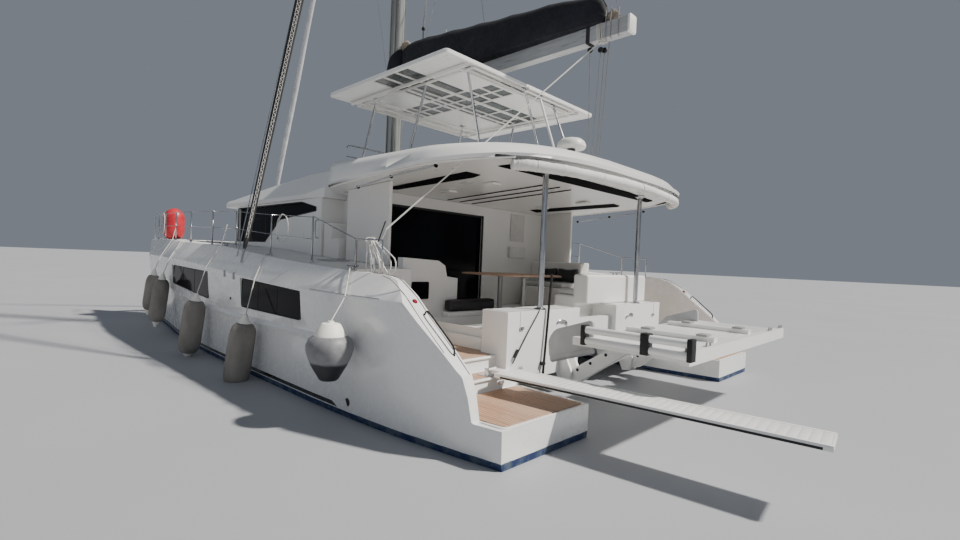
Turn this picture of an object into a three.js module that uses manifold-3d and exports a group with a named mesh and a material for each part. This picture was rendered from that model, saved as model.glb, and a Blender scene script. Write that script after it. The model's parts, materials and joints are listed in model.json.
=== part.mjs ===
// Cruising sailing catamaran, 14.75 m long and 8.10 m wide, afloat with its mainsail stowed on the boom.
// Millimetres. +X is forward, +Y is to port, +Z is up. The origin lies in the waterline, amidships.

import * as THREE from 'three';
import { mergeVertices } from 'three/addons/utils/BufferGeometryUtils.js';
import Module from 'manifold-3d';

const wasm = await Module();
wasm.setup();

// Driving dimensions
const SEAT_GAP = 0.3;
const BOOT_Z = 65;
const TUNNEL_Y = 2200;
const SOLE_Z = 1050;
const SLAB_BOTTOM_Z = 800;
const DECK_CAMBER = 30;
const WALL = 60;

const PLATFORM_Z = 390;
const LOW_STEP_Z = 560;
const FLOOR_Z = 750;
const LOW_RISER_X = -6280;
const HIGH_RISER_X = -5980;
const FLOOR_END_X = -4400;
const FIN_INNER_Y = 3680;
const BLOCK_Y = 2300;
const BLOCK_TOP_Z = 1340;
const BLOCK_AFT_X = -6165;
const BLOCK_FORWARD_X = -5700;
const NACELLE_AFT_X = -6000;
const NACELLE_TOP_Z = 1150;

const SALOON_Y = 2750;
const SALOON_FRONT_X = 2050;
const SALOON_AFT_X = -1900;
const FRONT_BULGE = 850;
const BULKHEAD_X = -3000;
const COCKPIT_WALL_Y = 2600;
const COCKPIT_WALL_END_X = -3850;
const ROOF_UNDER_Z = 3050;
const ROOF_AFT_X = -2000;
const BRIDGE_SOLE_Z = 3600;
const COAMING_TOP_Z = 3740;
const COAMING_WALL = 130;
const FOREDECK_X = 4700;

const DOORWAY = { y0: -450, y1: 1990, top: 2950 };
const DOOR_SPLIT_Y = 770;

const MAST_X = -280;
const MAST_FOOT_Z = 3700;
const MAST_TOP_Z = 24500;
const MAST_HALF_LENGTH = 210;
const MAST_HALF_WIDTH = 140;
const SHROUD_HOUND_Z = 21000;
const BOOM_PIVOT_X = -600;
const BOOM_END_X = -6520;
const BOOM_BOTTOM_Z = 5730;
const BOOM_TOP_Z = 5985;
const BOOM_HALF_WIDTH = 90;

const HARDTOP_RIM_Z = 3300;
const POLE_X = -6060;
const POLE_Y = 1470;
const BIMINI_Z = 5220;

const RUDDER_X = -5950;
const HULL_MID_Y = 3050;
const RUDDER_STOCK = 35;
const PROP_X = -4950;
const PROP_Z = -1000;
const PROP_RADIUS = 250;

const LIFT_PIVOT = { x: -6250, z: 330 };
const LIFT_TABLE_PIVOT = { x: -7250, z: 960 };
const LIFT_ARM_Y = 950;
const LIFT_ARM_HALF = 70;
const LIFT_TOP_Z = 1100;
const LIFT_PIN = 22;
const ARM_GAP = LIFT_ARM_HALF + 6;
const CHEEK = 50;

// Finishes, in the colours of the real surfaces
const finish = (color, roughness, metalness = 0) =>
  new THREE.MeshStandardMaterial({ color, roughness, metalness });

const MATERIALS = {
  gelcoat: () => finish(0xe9e8e3, 0.3),
  smokedGlass: () => finish(0x14171c, 0.1),
  teak: () => finish(0xa9774f, 0.7),
  steel: () => finish(0xc9ccd0, 0.2, 1),
  paintedSpar: () => finish(0xd9dadc, 0.35, 0.6),
  navyCanvas: () => finish(0x1c1f2b, 0.85),
  whiteCanvas: () => finish(0xe4e2dc, 0.8),
  blackCanvas: () => finish(0x17181a, 0.8),
  fenderSleeve: () => finish(0x6b6660, 0.9),
  redVinyl: () => finish(0xc3202a, 0.45),
  cushion: () => finish(0xbdbbb6, 0.9),
  bronze: () => finish(0xb08a4a, 0.4, 1),
  antifouling: () => finish(0x1f3f7a, 0.8),
  net: () => finish(0xd8d8d4, 0.9),
};

// Solid modelling helpers
const toSolid = (geometry) => {
  const bare = geometry.clone();
  bare.deleteAttribute('normal');
  bare.deleteAttribute('uv');
  const merged = mergeVertices(bare, 0.01);
  return new wasm.Manifold(new wasm.Mesh({
    numProp: 3,
    vertProperties: new Float32Array(merged.attributes.position.array),
    triVerts: new Uint32Array(merged.index.array),
  }));
};

const toGeometry = (solid) => {
  const mesh = solid.getMesh();
  const geometry = new THREE.BufferGeometry();
  geometry.setAttribute('position', new THREE.BufferAttribute(mesh.vertProperties, 3));
  geometry.setIndex(new THREE.BufferAttribute(mesh.triVerts, 1));
  geometry.computeVertexNormals();
  return geometry;
};

const join = (...solids) => solids.reduce((sum, solid) => sum.add(solid));

const cut = (body, ...tools) => tools.reduce((rest, tool) => rest.subtract(tool), body);

const mirrorY = (solid) => solid.mirror([0, 1, 0]);

const bothSides = (solid) => solid.add(mirrorY(solid));

const box = (x0, x1, y0, y1, z0, z1) => {
  const geometry = new THREE.BoxGeometry(x1 - x0, y1 - y0, z1 - z0);
  geometry.translate((x0 + x1) / 2, (y0 + y1) / 2, (z0 + z1) / 2);
  return toSolid(geometry);
};

const AXIS_X = new THREE.Vector3(1, 0, 0);
const AXIS_Y = new THREE.Vector3(0, 1, 0);
const AXIS_Z = new THREE.Vector3(0, 0, 1);
const AXIS_MINUS_Y = new THREE.Vector3(0, -1, 0);

// Extrudes an outline drawn along the first two directions, between two levels of the third.
const prism = (outline, from, to, directions) => {
  const shape = new THREE.Shape(outline.map(([a, b]) => new THREE.Vector2(a, b)));
  const geometry = new THREE.ExtrudeGeometry(shape, { depth: to - from, bevelEnabled: false });
  geometry.translate(0, 0, from);
  geometry.applyMatrix4(new THREE.Matrix4().makeBasis(...directions));
  return toSolid(geometry);
};

const prismX = (outlineYZ, x0, x1) => prism(outlineYZ, x0, x1, [AXIS_Y, AXIS_Z, AXIS_X]);
const prismY = (outlineXZ, y0, y1) => prism(outlineXZ, -y1, -y0, [AXIS_X, AXIS_Z, AXIS_MINUS_Y]);
const prismZ = (outlineXY, z0, z1) => prism(outlineXY, z0, z1, [AXIS_X, AXIS_Y, AXIS_Z]);

const vector = ([x, y, z]) => new THREE.Vector3(x, y, z);

// A revolved profile of [radius, height] pairs that stands at start and points along direction.
const lathe = (profile, start, direction, sides = 12) => {
  const outline = profile.map(([radius, height]) => new THREE.Vector2(radius, height));
  const geometry = new THREE.LatheGeometry(outline, sides);
  const turn = new THREE.Quaternion().setFromUnitVectors(AXIS_Y, direction.clone().normalize());
  geometry.applyQuaternion(turn);
  geometry.translate(start.x, start.y, start.z);
  return toSolid(geometry);
};

const rod = (a, b, radius, sides = 6) => {
  const along = vector(b).sub(vector(a));
  const profile = [[0, 0], [radius, 0], [radius, along.length()], [0, along.length()]];
  return lathe(profile, vector(a), along, sides);
};

// A hole whose flats clear a pin of the given radius at every angle.
const bore = (a, b, pinRadius, sides = 24) =>
  rod(a, b, (pinRadius + SEAT_GAP) / Math.cos(Math.PI / sides), sides);

const ball = ([x, y, z], radius) => {
  const geometry = new THREE.SphereGeometry(radius, 6, 3);
  geometry.translate(x, y, z);
  return toSolid(geometry);
};

// Straight rods through the points, with a ball in each bend.
const bentRod = (points, radius, sides = 6) => {
  const rods = points.slice(1).map((end, i) => rod(points[i], end, radius, sides));
  const bends = points.slice(1, -1).map((bend) => ball(bend, radius));
  return join(...rods, ...bends);
};

const areaVector = (points) => {
  const sum = new THREE.Vector3();
  points.forEach((p, i) => sum.add(vector(p).cross(vector(points[(i + 1) % points.length]))));
  return sum;
};

// Triangles of a flat ring, turned the same way round as the ring or against it.
const capFaces = (ring, against, offset) => {
  const normal = areaVector(ring);
  const sizes = [Math.abs(normal.x), Math.abs(normal.y), Math.abs(normal.z)];
  const flatAxis = sizes.indexOf(Math.max(...sizes));
  const [u, v] = [0, 1, 2].filter((axis) => axis !== flatAxis);
  const outline = ring.map((p) => new THREE.Vector2(p[u], p[v]));
  return THREE.ShapeUtils.triangulateShape(outline, []).flatMap((triangle) => {
    const same = areaVector(triangle.map((i) => ring[i])).dot(normal) > 0;
    const [a, b, c] = triangle.map((i) => i + offset);
    return same !== against ? [a, b, c] : [a, c, b];
  });
};

// Skins a row of rings, each a closed list of equally many [x, y, z] points, and caps both ends.
const loft = (rings) => {
  const count = rings[0].length;
  const faces = [];
  rings.slice(1).forEach((_, level) => {
    for (let i = 0; i < count; i += 1) {
      const a = level * count + i;
      const b = level * count + ((i + 1) % count);
      faces.push(a, b, b + count, a, b + count, a + count);
    }
  });
  faces.push(...capFaces(rings[0], true, 0));
  faces.push(...capFaces(rings.at(-1), false, (rings.length - 1) * count));
  const corners = rings.flat();
  const volume = Array.from({ length: faces.length / 3 }, (_, i) => {
    const [a, b, c] = [0, 1, 2].map((k) => vector(corners[faces[3 * i + k]]));
    return a.dot(b.cross(c));
  }).reduce((sum, value) => sum + value, 0);
  const geometry = new THREE.BufferGeometry();
  geometry.setAttribute('position', new THREE.Float32BufferAttribute(corners.flat(), 3));
  geometry.setIndex(volume > 0 ? faces : faces.toReversed());
  return toSolid(geometry);
};

// The part of a solid that is clear of what carries it, which is moved by the seat gap.
const seatedOn = (solid, carrier, [dx, dy, dz] = [0, 0, SEAT_GAP]) =>
  solid.subtract(carrier.translate([dx, dy, dz]));

const vessel = new THREE.Group();

const addPart = (name, solid, material) => {
  const mesh = new THREE.Mesh(toGeometry(solid), MATERIALS[material]());
  mesh.name = name;
  vessel.add(mesh);
};

// Hull lines of the port hull, one station a row
const STATIONS = [
  // x, keelZ, waterOut, waterIn, ledge, ledgeY, ledgeZ, kneeY, kneeZ, edgeY, edgeZ, innerY
  [-7375, -180, 3730, 2210, 0, 3775, 950, 3790, 1500, 3640, 1770, 2200],
  [-6700, -330, 3830, 2150, 0, 3870, 950, 3890, 1505, 3690, 1775, 2200],
  [-5900, -450, 3925, 2110, 0, 3955, 950, 3975, 1508, 3725, 1780, 2200],
  [-4700, -620, 3990, 2090, 0, 4015, 950, 4035, 1510, 3750, 1800, 2200],
  [-4200, -780, 4000, 2090, 25, 4020, 948, 4042, 1512, 3755, 1825, 2200],
  [-2600, -780, 4005, 2090, 25, 4025, 938, 4050, 1545, 3760, 1905, 2200],
  [0, -780, 3960, 2090, 25, 4015, 965, 4045, 1690, 3750, 2085, 2200],
  [2050, -780, 3830, 2160, 25, 3960, 1110, 4010, 1775, 3740, 2155, 2200],
  [2600, -780, 3780, 2200, 0, 3930, 1150, 3990, 1785, 3720, 2170, 2200],
  [3650, -740, 3640, 2340, 0, 3810, 1230, 3905, 1800, 3650, 2205, 2200],
  [4700, -700, 3515, 2540, 0, 3690, 1310, 3790, 1808, 3560, 2235, 2200],
  [5000, -680, 3480, 2600, 0, 3645, 1330, 3750, 1810, 3530, 2240, 2700],
  [6200, -600, 3360, 2860, 0, 3460, 1400, 3550, 1815, 3400, 2250, 2930],
  [7000, -500, 3285, 3070, 0, 3340, 1450, 3395, 1820, 3310, 2250, 3100],
  [7330, -330, 3262, 3195, 0, 3285, 1455, 3302, 1820, 3275, 2240, 3195],
  [7375, -200, 3250, 3212, 0, 3262, 1455, 3270, 1815, 3260, 2228, 3212],
].map(([x, keelZ, waterOut, waterIn, ledge, ledgeY, ledgeZ, kneeY, kneeZ, edgeY, edgeZ, innerY]) =>
  ({ x, keelZ, waterOut, waterIn, ledge, ledgeY, ledgeZ, kneeY, kneeZ, edgeY, edgeZ, innerY }));

const BILGE_STEPS = 6;
const STATION_STEP = 420;

// Slope of one column at each station, kept flat where the column stops rising or falling.
const slopesOf = (key) => {
  const rise = STATIONS.slice(1).map((s, i) => (s[key] - STATIONS[i][key]) / (s.x - STATIONS[i].x));
  return STATIONS.map((_, i) => {
    const [before, after] = [rise[i - 1] ?? rise[i], rise[i] ?? rise[i - 1]];
    return before * after > 0 ? (2 * before * after) / (before + after) : 0;
  });
};
const LINES = Object.keys(STATIONS[0]).filter((key) => key !== 'x');
const SLOPES = Object.fromEntries(LINES.map((key) => [key, slopesOf(key)]));

// One of the hull's lines at a distance forward, on a smooth curve through the stations.
const lineAt = (x, key) => {
  const next = STATIONS.findIndex((s, i) => i > 0 && s.x >= x);
  const [a, b] = [STATIONS[next - 1], STATIONS[next]];
  const span = b.x - a.x;
  const t = (x - a.x) / span;
  const [slopeA, slopeB] = [SLOPES[key][next - 1], SLOPES[key][next]];
  return (2 * t ** 3 - 3 * t ** 2 + 1) * a[key] + (t ** 3 - 2 * t ** 2 + t) * span * slopeA
    + (3 * t ** 2 - 2 * t ** 3) * b[key] + (t ** 3 - t ** 2) * span * slopeB;
};
const stationAt = (x) => ({ x, ...Object.fromEntries(LINES.map((key) => [key, lineAt(x, key)])) });

const hullStations = STATIONS.slice(1).flatMap((s, i) => {
  const from = STATIONS[i].x;
  const steps = Math.max(1, Math.round((s.x - from) / STATION_STEP));
  return Array.from({ length: steps }, (_, k) => stationAt(from + ((s.x - from) * (k + 1)) / steps));
});

const stationRing = (s) => {
  const middle = (s.waterOut + s.waterIn) / 2;
  const flat = (s.waterOut - s.waterIn) * 0.22;
  const bilge = (side, radius) => Array.from({ length: BILGE_STEPS + 1 }, (_, i) => {
    const angle = (i / BILGE_STEPS) * Math.PI / 2;
    const y = middle + side * (flat + (radius - flat) * Math.cos(angle));
    return [s.x, y, BOOT_Z - (BOOT_Z - s.keelZ) * Math.sin(angle)];
  });
  return [
    [s.x, s.edgeY, s.edgeZ],
    [s.x, s.kneeY, s.kneeZ],
    [s.x, s.ledgeY - s.ledge, s.ledgeZ],
    [s.x, s.ledgeY + s.ledge / 2, s.ledgeZ - 60],
    [s.x, s.ledgeY - 20, s.ledgeZ - 140],
    ...bilge(1, s.waterOut - middle),
    ...bilge(-1, middle - s.waterIn).reverse(),
    [s.x, s.innerY, Math.min(780, s.kneeZ)],
    [s.x, s.innerY, s.edgeZ + DECK_CAMBER],
  ];
};

const deckZ = (x, y) => {
  const across = (lineAt(x, 'edgeY') - y) / (lineAt(x, 'edgeY') - lineAt(x, 'innerY'));
  return lineAt(x, 'edgeZ') + DECK_CAMBER * across;
};

const FAR = 9000;

// Stern fin: the outer edge of the sheer as it falls to the bathing platform, [x, z]
const FIN_EDGE = [
  [-5300, 1792], [-5530, 1775], [-5710, 1730], [-5980, 1570], [-6260, 1340], [-6650, 1040],
  [-6890, 840], [-6970, 630], [-7020, 400], [-7050, PLATFORM_Z],
];

const aboveFin = () => prismY(
  [...FIN_EDGE, [-7600, PLATFORM_Z], [-7600, 2600], [-5300, 2600]], TUNNEL_Y - 100, 4400);

const stairwell = () => prismY([
  [-7600, PLATFORM_Z], [LOW_RISER_X, PLATFORM_Z], [LOW_RISER_X, LOW_STEP_Z], [HIGH_RISER_X, LOW_STEP_Z],
  [HIGH_RISER_X, FLOOR_Z], [FLOOR_END_X, FLOOR_Z], [FLOOR_END_X, 2600], [-7600, 2600],
], TUNNEL_Y - 100, FIN_INNER_Y);

const cockpitRecess = () => box(
  FLOOR_END_X - 1, BULKHEAD_X, TUNNEL_Y - 100, COCKPIT_WALL_Y - WALL, SOLE_Z, 2600);

// Recessed hull windows: their after and forward ends, and the lower and upper edge at each end
const HULL_WINDOWS = [
  { x0: -3840, x1: -1700, bottom0: 1060, bottom1: 1060, top0: 1480, top1: 1560 },
  { x0: -100, x1: 2450, bottom0: 1060, bottom1: 1210, top0: 1590, top1: 1640 },
];

const windowPocket = ({ x0, x1, bottom0, bottom1, top0, top1 }) => {
  const depth = 35;
  const [y0, y1] = [x0, x1].map((x) => (lineAt(x, 'kneeY') + lineAt(x, 'ledgeY')) / 2 - depth);
  const plan = prismZ([[x0, y0], [x1, y1], [x1, 4400], [x0, 4400]], 900, 1900);
  return plan.intersect(prismY([[x0, bottom0], [x1, bottom1], [x1, top1], [x0, top0]], 3500, 4400));
};

const rudderBore = () => bore(
  [RUDDER_X, HULL_MID_Y, -900], [RUDDER_X, HULL_MID_Y, 200], RUDDER_STOCK);

const KEEL_PLAN = [[1500, 0], [1250, 120], [700, 170], [-300, 160], [-1800, 0]];

// Stub keel under each hull, tapering to its foot
const keel = () => {
  const ring = (z, scale) => [
    ...KEEL_PLAN.map(([x, y]) => [x * scale, HULL_MID_Y + y * scale, z]),
    ...KEEL_PLAN.slice(1, -1).reverse().map(([x, y]) => [x * scale, HULL_MID_Y - y * scale, z]),
  ];
  return loft([ring(-1400, 0.8), ring(-760, 1)]);
};

const portHull = cut(
  join(loft([STATIONS[0], ...hullStations].map(stationRing)), keel()),
  aboveFin(), stairwell(), cockpitRecess(), ...HULL_WINDOWS.map(windowPocket), rudderBore());
const hulls = bothSides(portHull);

const clearOfHulls = (solid) => seatedOn(
  seatedOn(solid, portHull, [0, -SEAT_GAP, SEAT_GAP]), mirrorY(portHull), [0, SEAT_GAP, SEAT_GAP]);

addPart('port_hull', portHull, 'gelcoat');
addPart('starboard_hull', mirrorY(portHull), 'gelcoat');

// Bridge deck between the hulls, with the after transom blocks and the lift's brackets
const innerY = TUNNEL_Y - SEAT_GAP;

const transomBlock = () => {
  const shell = prismY([
    [BLOCK_AFT_X, PLATFORM_Z + 10], [BLOCK_AFT_X, BLOCK_TOP_Z], [BLOCK_FORWARD_X, BLOCK_TOP_Z],
    [BLOCK_FORWARD_X, SLAB_BOTTOM_Z + 100], [NACELLE_AFT_X + 150, PLATFORM_Z + 10],
  ], 580, innerY);
  return join(shell, box(BLOCK_AFT_X, BLOCK_FORWARD_X, innerY - 1, BLOCK_Y, PLATFORM_Z + 10, BLOCK_TOP_Z));
};

// Both ends of a lift pin that crosses an arm at the given pivot.
const acrossArm = ({ x, z }, y, reach) => [[x, y - reach, z], [x, y + reach, z]];

const liftBracket = (y) => {
  const cheek = (y0) => prismY([
    [-5900, SLAB_BOTTOM_Z + 20], [-6180, SLAB_BOTTOM_Z + 20], [-6380, 430], [-6330, 210], [-6200, 190],
  ], y0, y0 + CHEEK);
  const pin = rod(...acrossArm(LIFT_PIVOT, y, ARM_GAP + CHEEK), LIFT_PIN, 24);
  return join(cheek(y + ARM_GAP), cheek(y - ARM_GAP - CHEEK), pin);
};

const bridgeDeck = clearOfHulls(join(
  box(NACELLE_AFT_X, FOREDECK_X, -innerY, innerY, SLAB_BOTTOM_Z, SOLE_Z),
  prismY([
    [NACELLE_AFT_X, SLAB_BOTTOM_Z - 60], [NACELLE_AFT_X - 60, SLAB_BOTTOM_Z + 30],
    [NACELLE_AFT_X - 60, NACELLE_TOP_Z], [NACELLE_AFT_X + 60, NACELLE_TOP_Z],
    [NACELLE_AFT_X + 200, SLAB_BOTTOM_Z - 60],
  ], -innerY, innerY),
  transomBlock(), mirrorY(transomBlock()),
  liftBracket(LIFT_ARM_Y), liftBracket(-LIFT_ARM_Y),
));
addPart('bridge_deck', bridgeDeck, 'gelcoat');

// Foredeck with its sunken lounge
const foredeckTop = (x) => deckZ(x, TUNNEL_Y);
const foredeck = cut(
  prismY([
    [SALOON_FRONT_X - 50, SOLE_Z + SEAT_GAP], [FOREDECK_X, SOLE_Z + SEAT_GAP],
    [FOREDECK_X, foredeckTop(FOREDECK_X)], [SALOON_FRONT_X - 50, foredeckTop(SALOON_FRONT_X)],
  ], -innerY, innerY),
  box(3250, 4450, -1500, 1500, 1500, 2600),
  box(3250, 4450, -500, 500, 1300, 2600),
);
addPart('foredeck', foredeck, 'gelcoat');

// Forward beam, longeron and nets
const BEAM = { aft: 6810, forward: 6990, bottom: 1880, top: 2040 };
const beamEnd = (x) => lineAt(x, 'innerY') - SEAT_GAP;
const STAY_FOOT = [6900, 0, 2250];
const STAY_HEAD = [20, 0, 20500];
const stayLine = vector(STAY_HEAD).sub(vector(STAY_FOOT)).normalize();
const alongStay = (from, distance) =>
  vector(from).addScaledVector(stayLine, distance).toArray();

addPart('forward_beam', clearOfHulls(join(
  prismZ([
    [BEAM.aft, -beamEnd(BEAM.aft)], [BEAM.forward, -beamEnd(BEAM.forward)],
    [BEAM.forward, beamEnd(BEAM.forward)], [BEAM.aft, beamEnd(BEAM.aft)],
  ], BEAM.bottom, BEAM.top),
  rod(alongStay(STAY_FOOT, -290), STAY_FOOT, 28),
)), 'paintedSpar');

addPart('longeron',
  box(FOREDECK_X + SEAT_GAP, BEAM.aft - SEAT_GAP, -110, 110, BEAM.bottom, BEAM.top), 'gelcoat');

const net = clearOfHulls(prismZ([
  [FOREDECK_X + SEAT_GAP, 110 + SEAT_GAP], [BEAM.aft - SEAT_GAP, 110 + SEAT_GAP],
  [BEAM.aft - SEAT_GAP, beamEnd(BEAM.aft)], [6200, beamEnd(6200)], [5000, beamEnd(5000)],
  [FOREDECK_X + SEAT_GAP, TUNNEL_Y],
], 2000, 2020));
addPart('port_net', net, 'net');
addPart('starboard_net', mirrorY(net), 'net');

// Saloon walls: the side glass band falls away aft along a slanting line
const SIDE_GLASS = [
  [1950, 2240], [1950, 3010], [-1200, 3000], [-1780, 2880], [-1780, 2810], [-300, 2690], [420, 2230],
];
const sideWall = seatedOn(
  cut(
    prismY([
      [SALOON_AFT_X, 1800], [SALOON_FRONT_X - 5, 1800], [SALOON_FRONT_X - 5, ROOF_UNDER_Z - SEAT_GAP],
      [SALOON_AFT_X, ROOF_UNDER_Z - SEAT_GAP],
    ], SALOON_Y - WALL, SALOON_Y),
    prismY(SIDE_GLASS, SALOON_Y - WALL - 10, SALOON_Y + 10)),
  hulls);
addPart('port_saloon_side', sideWall, 'gelcoat');
addPart('starboard_saloon_side', mirrorY(sideWall), 'gelcoat');

const sideGlass = prismY([
  [1990, 2200], [1990, 3040], [-1230, 3040], [-1830, 2915], [-1830, 2780], [-330, 2655], [400, 2200],
], SALOON_Y - WALL - SEAT_GAP - 10, SALOON_Y - WALL - SEAT_GAP);
addPart('port_side_glass', sideGlass, 'smokedGlass');
addPart('starboard_side_glass', mirrorY(sideGlass), 'smokedGlass');

// Saloon front, an arc in plan between the side walls
const frontRadius = (SALOON_Y ** 2 + FRONT_BULGE ** 2) / (2 * FRONT_BULGE);
const frontCentreX = SALOON_FRONT_X + FRONT_BULGE - frontRadius;
const frontSweep = Math.asin(SALOON_Y / frontRadius);
const FRONT_STEPS = 12;

const frontArc = (radius, sweep) => Array.from({ length: FRONT_STEPS + 1 }, (_, i) => {
  const angle = -sweep + (2 * sweep * i) / FRONT_STEPS;
  return [frontCentreX + radius * Math.cos(angle), radius * Math.sin(angle)];
});

const frontBand = (outer, inner, sweep, z0, z1) =>
  prismZ([...frontArc(outer, sweep), ...frontArc(inner, sweep).reverse()], z0, z1);

const FRONT_PANES = [-0.76, -0.25, 0.25, 0.76];
const PANE_HALF_ANGLE = 0.115;

const frontPane = (fraction) => {
  const middle = fraction * frontSweep;
  const at = (radius, side) => {
    const angle = middle + side * PANE_HALF_ANGLE;
    return [frontCentreX + radius * Math.cos(angle), radius * Math.sin(angle)];
  };
  const [near, wide] = [frontRadius - 400, frontRadius + 400];
  return prismZ([at(near, -1), at(wide, -1), at(wide, 1), at(near, 1)], 2290, 2960);
};

const saloonFront = seatedOn(seatedOn(
  cut(
    frontBand(frontRadius, frontRadius - WALL, frontSweep, 1900, ROOF_UNDER_Z - SEAT_GAP),
    box(0, SALOON_FRONT_X - 5 + SEAT_GAP, -FAR, FAR, 0, FAR),
    ...FRONT_PANES.map(frontPane)),
  hulls), foredeck);
addPart('saloon_front', saloonFront, 'gelcoat');

const glassRadius = frontRadius - WALL - SEAT_GAP;
addPart('front_glass', frontBand(glassRadius, glassRadius - 10, frontSweep, 2250, 3000)
  .intersect(box(0, FAR, -2500, 2500, 0, FAR)), 'smokedGlass');

// After bulkhead with the doorway, and the walls that step out to the cockpit's sides
const wallTop = (x) => HARDTOP_RIM_Z - 0.0517 * (x + 5350) - SEAT_GAP;

const bulkheadWalls = () => {
  const underHardtop = (x0, x1, y0, y1, z0) =>
    prismY([[x0, z0], [x1, z0], [x1, wallTop(x1)], [x0, wallTop(x0)]], y0, y1);
  const side = join(
    underHardtop(COCKPIT_WALL_END_X, -2600, COCKPIT_WALL_Y - WALL, COCKPIT_WALL_Y, 1700),
    underHardtop(-2600 - WALL, -2600, 2200, COCKPIT_WALL_Y, 1700),
    underHardtop(-2600 - 10, ROOF_AFT_X - SEAT_GAP, 2200, 2200 + WALL, 1700),
    box(-2600 - 10, SALOON_AFT_X - SEAT_GAP, 2200, 2200 + WALL, 1700, ROOF_UNDER_Z - SEAT_GAP),
    box(SALOON_AFT_X - WALL, SALOON_AFT_X - SEAT_GAP, 2200, SALOON_Y, 1700, ROOF_UNDER_Z - SEAT_GAP),
  );
  const across = underHardtop(BULKHEAD_X, BULKHEAD_X + WALL, -COCKPIT_WALL_Y + 10, COCKPIT_WALL_Y - 10,
    SOLE_Z + SEAT_GAP);
  const doorway = box(-3100, -2800, DOORWAY.y0, DOORWAY.y1, 0, DOORWAY.top);
  const rail = box(BULKHEAD_X + WALL - 1, BULKHEAD_X + WALL + 45, DOORWAY.y0 - 90, DOORWAY.y1 + 20,
    DOORWAY.top + 20, DOORWAY.top + 60);
  return join(cut(across, doorway), rail, side, mirrorY(side));
};

const flybridgeSteps = () => join(
  box(-2500, -2250, 2200 + WALL - 1, 2700, 1800, 2300),
  box(-2260, -1990, 2200 + WALL - 1, 2700, 1800, 2580),
);

const bulkhead = seatedOn(
  join(bulkheadWalls(), flybridgeSteps(), mirrorY(flybridgeSteps())), hulls);
addPart('saloon_after_bulkhead', bulkhead, 'gelcoat');

addPart('fixed_door_glass', box(BULKHEAD_X + 20, BULKHEAD_X + 35, DOOR_SPLIT_Y - 30,
  DOORWAY.y1 - SEAT_GAP, SOLE_Z + SEAT_GAP, DOORWAY.top - SEAT_GAP), 'smokedGlass');

addPart('sliding_door', box(BULKHEAD_X + WALL + 8, BULKHEAD_X + WALL + 38, DOORWAY.y0 - 40,
  DOOR_SPLIT_Y + 40, SOLE_Z + 6, DOORWAY.top + 20 - SEAT_GAP), 'smokedGlass');

// Coachroof over the saloon, with its eyebrow over the front windows
const ROOF_PROFILE = [
  [ROOF_AFT_X, ROOF_UNDER_Z], [3330, ROOF_UNDER_Z], [3390, 3100], [3300, 3160], [2300, 3230],
  [200, 3500], [-900, BRIDGE_SOLE_Z], [ROOF_AFT_X, BRIDGE_SOLE_Z],
];
const EYEBROW = 480;
const roofSide = SALOON_Y + 60;
const roofPlan = () => {
  const radius = frontRadius + EYEBROW;
  const sweep = Math.asin(roofSide / radius);
  return prismZ([
    [ROOF_AFT_X - 100, roofSide - 100], [ROOF_AFT_X - 100, -roofSide + 100], [-1400, -roofSide],
    ...frontArc(radius, sweep), [-1400, roofSide],
  ], ROOF_UNDER_Z - 100, BRIDGE_SOLE_Z + 100);
};
const roofFlank = () => prismX(
  [[roofSide + 1, 3130], [2420, BRIDGE_SOLE_Z + 20], [3200, BRIDGE_SOLE_Z + 20], [3200, 3130]],
  ROOF_AFT_X - 200, 4000);
const coachroof = join(
  cut(prismY(ROOF_PROFILE, -roofSide, roofSide).intersect(roofPlan()), roofFlank(), mirrorY(roofFlank())),
  box(MAST_X - 330, MAST_X + 330, -260, 260, 3400, MAST_FOOT_Z),
);
addPart('coachroof', coachroof, 'gelcoat');

// Hardtop over the cockpit: half of its rim in plan, from the forward tip to the stern
const HARDTOP_RIM = [
  [-2003, 2420], [-2640, 3020], [-3400, 3080], [-4880, 3040], [-5350, 2985], [-5850, 2800],
  [-6280, 2490], [-6560, 2050], [-6720, 1480], [-6790, 750],
];
const RIM_STEPS = 24;
const rimCurve = new THREE.SplineCurve(HARDTOP_RIM.map(([x, y]) => new THREE.Vector2(x, y)));
const hardtopRing = (inset, level) => {
  const half = rimCurve.getPoints(RIM_STEPS).map(({ x, y }, i) => {
    const reach = Math.min(1, i / 5);
    const scale = 1 - (inset * reach) / 3000;
    const shifted = x < -2500 ? -2500 + (x + 2500) * (1 - inset / 4300) : x;
    return [shifted, y * scale, level(x)];
  });
  return [...half, ...half.map(([x, y, z]) => [x, -y, z]).reverse()];
};
const underRim = (x) => HARDTOP_RIM_Z - 0.0517 * (x + 5350);
const hardtopShell = loft([
  hardtopRing(150, (x) => underRim(x)),
  hardtopRing(10, (x) => underRim(x)),
  hardtopRing(0, (x) => underRim(x) + 50),
  hardtopRing(60, () => 3460),
  hardtopRing(150, () => 3560),
  hardtopRing(290, () => BRIDGE_SOLE_Z),
]);

// Rolled side curtain that hangs in a groove under the hardtop's after rim
const CURTAIN_RADIUS = 95;
const curtainLine = new THREE.CatmullRomCurve3([
  [-6080, 2600], [-6420, 2200], [-6640, 1500], [-6740, 0], [-6640, -1500], [-6420, -2200], [-6080, -2600],
].map(([x, y]) => new THREE.Vector3(x, y, 3290)));
const curtainRoll = (radius) => {
  const section = new THREE.Shape(Array.from({ length: 10 }, (_, i) => {
    const angle = (i / 10) * 2 * Math.PI;
    return new THREE.Vector2(radius * Math.cos(angle), radius * Math.sin(angle));
  }));
  return toSolid(new THREE.ExtrudeGeometry(section, {
    extrudePath: curtainLine, steps: 24, bevelEnabled: false, curveSegments: 1,
  }));
};
const curtainGroove = curtainRoll(CURTAIN_RADIUS + 2 * SEAT_GAP);
const hardtop = cut(hardtopShell, curtainGroove, curtainGroove.translate([2 * SEAT_GAP, 0, 0]));
addPart('hardtop', hardtop, 'gelcoat');
addPart('hardtop_curtain', curtainRoll(CURTAIN_RADIUS), 'whiteCanvas');

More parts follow.
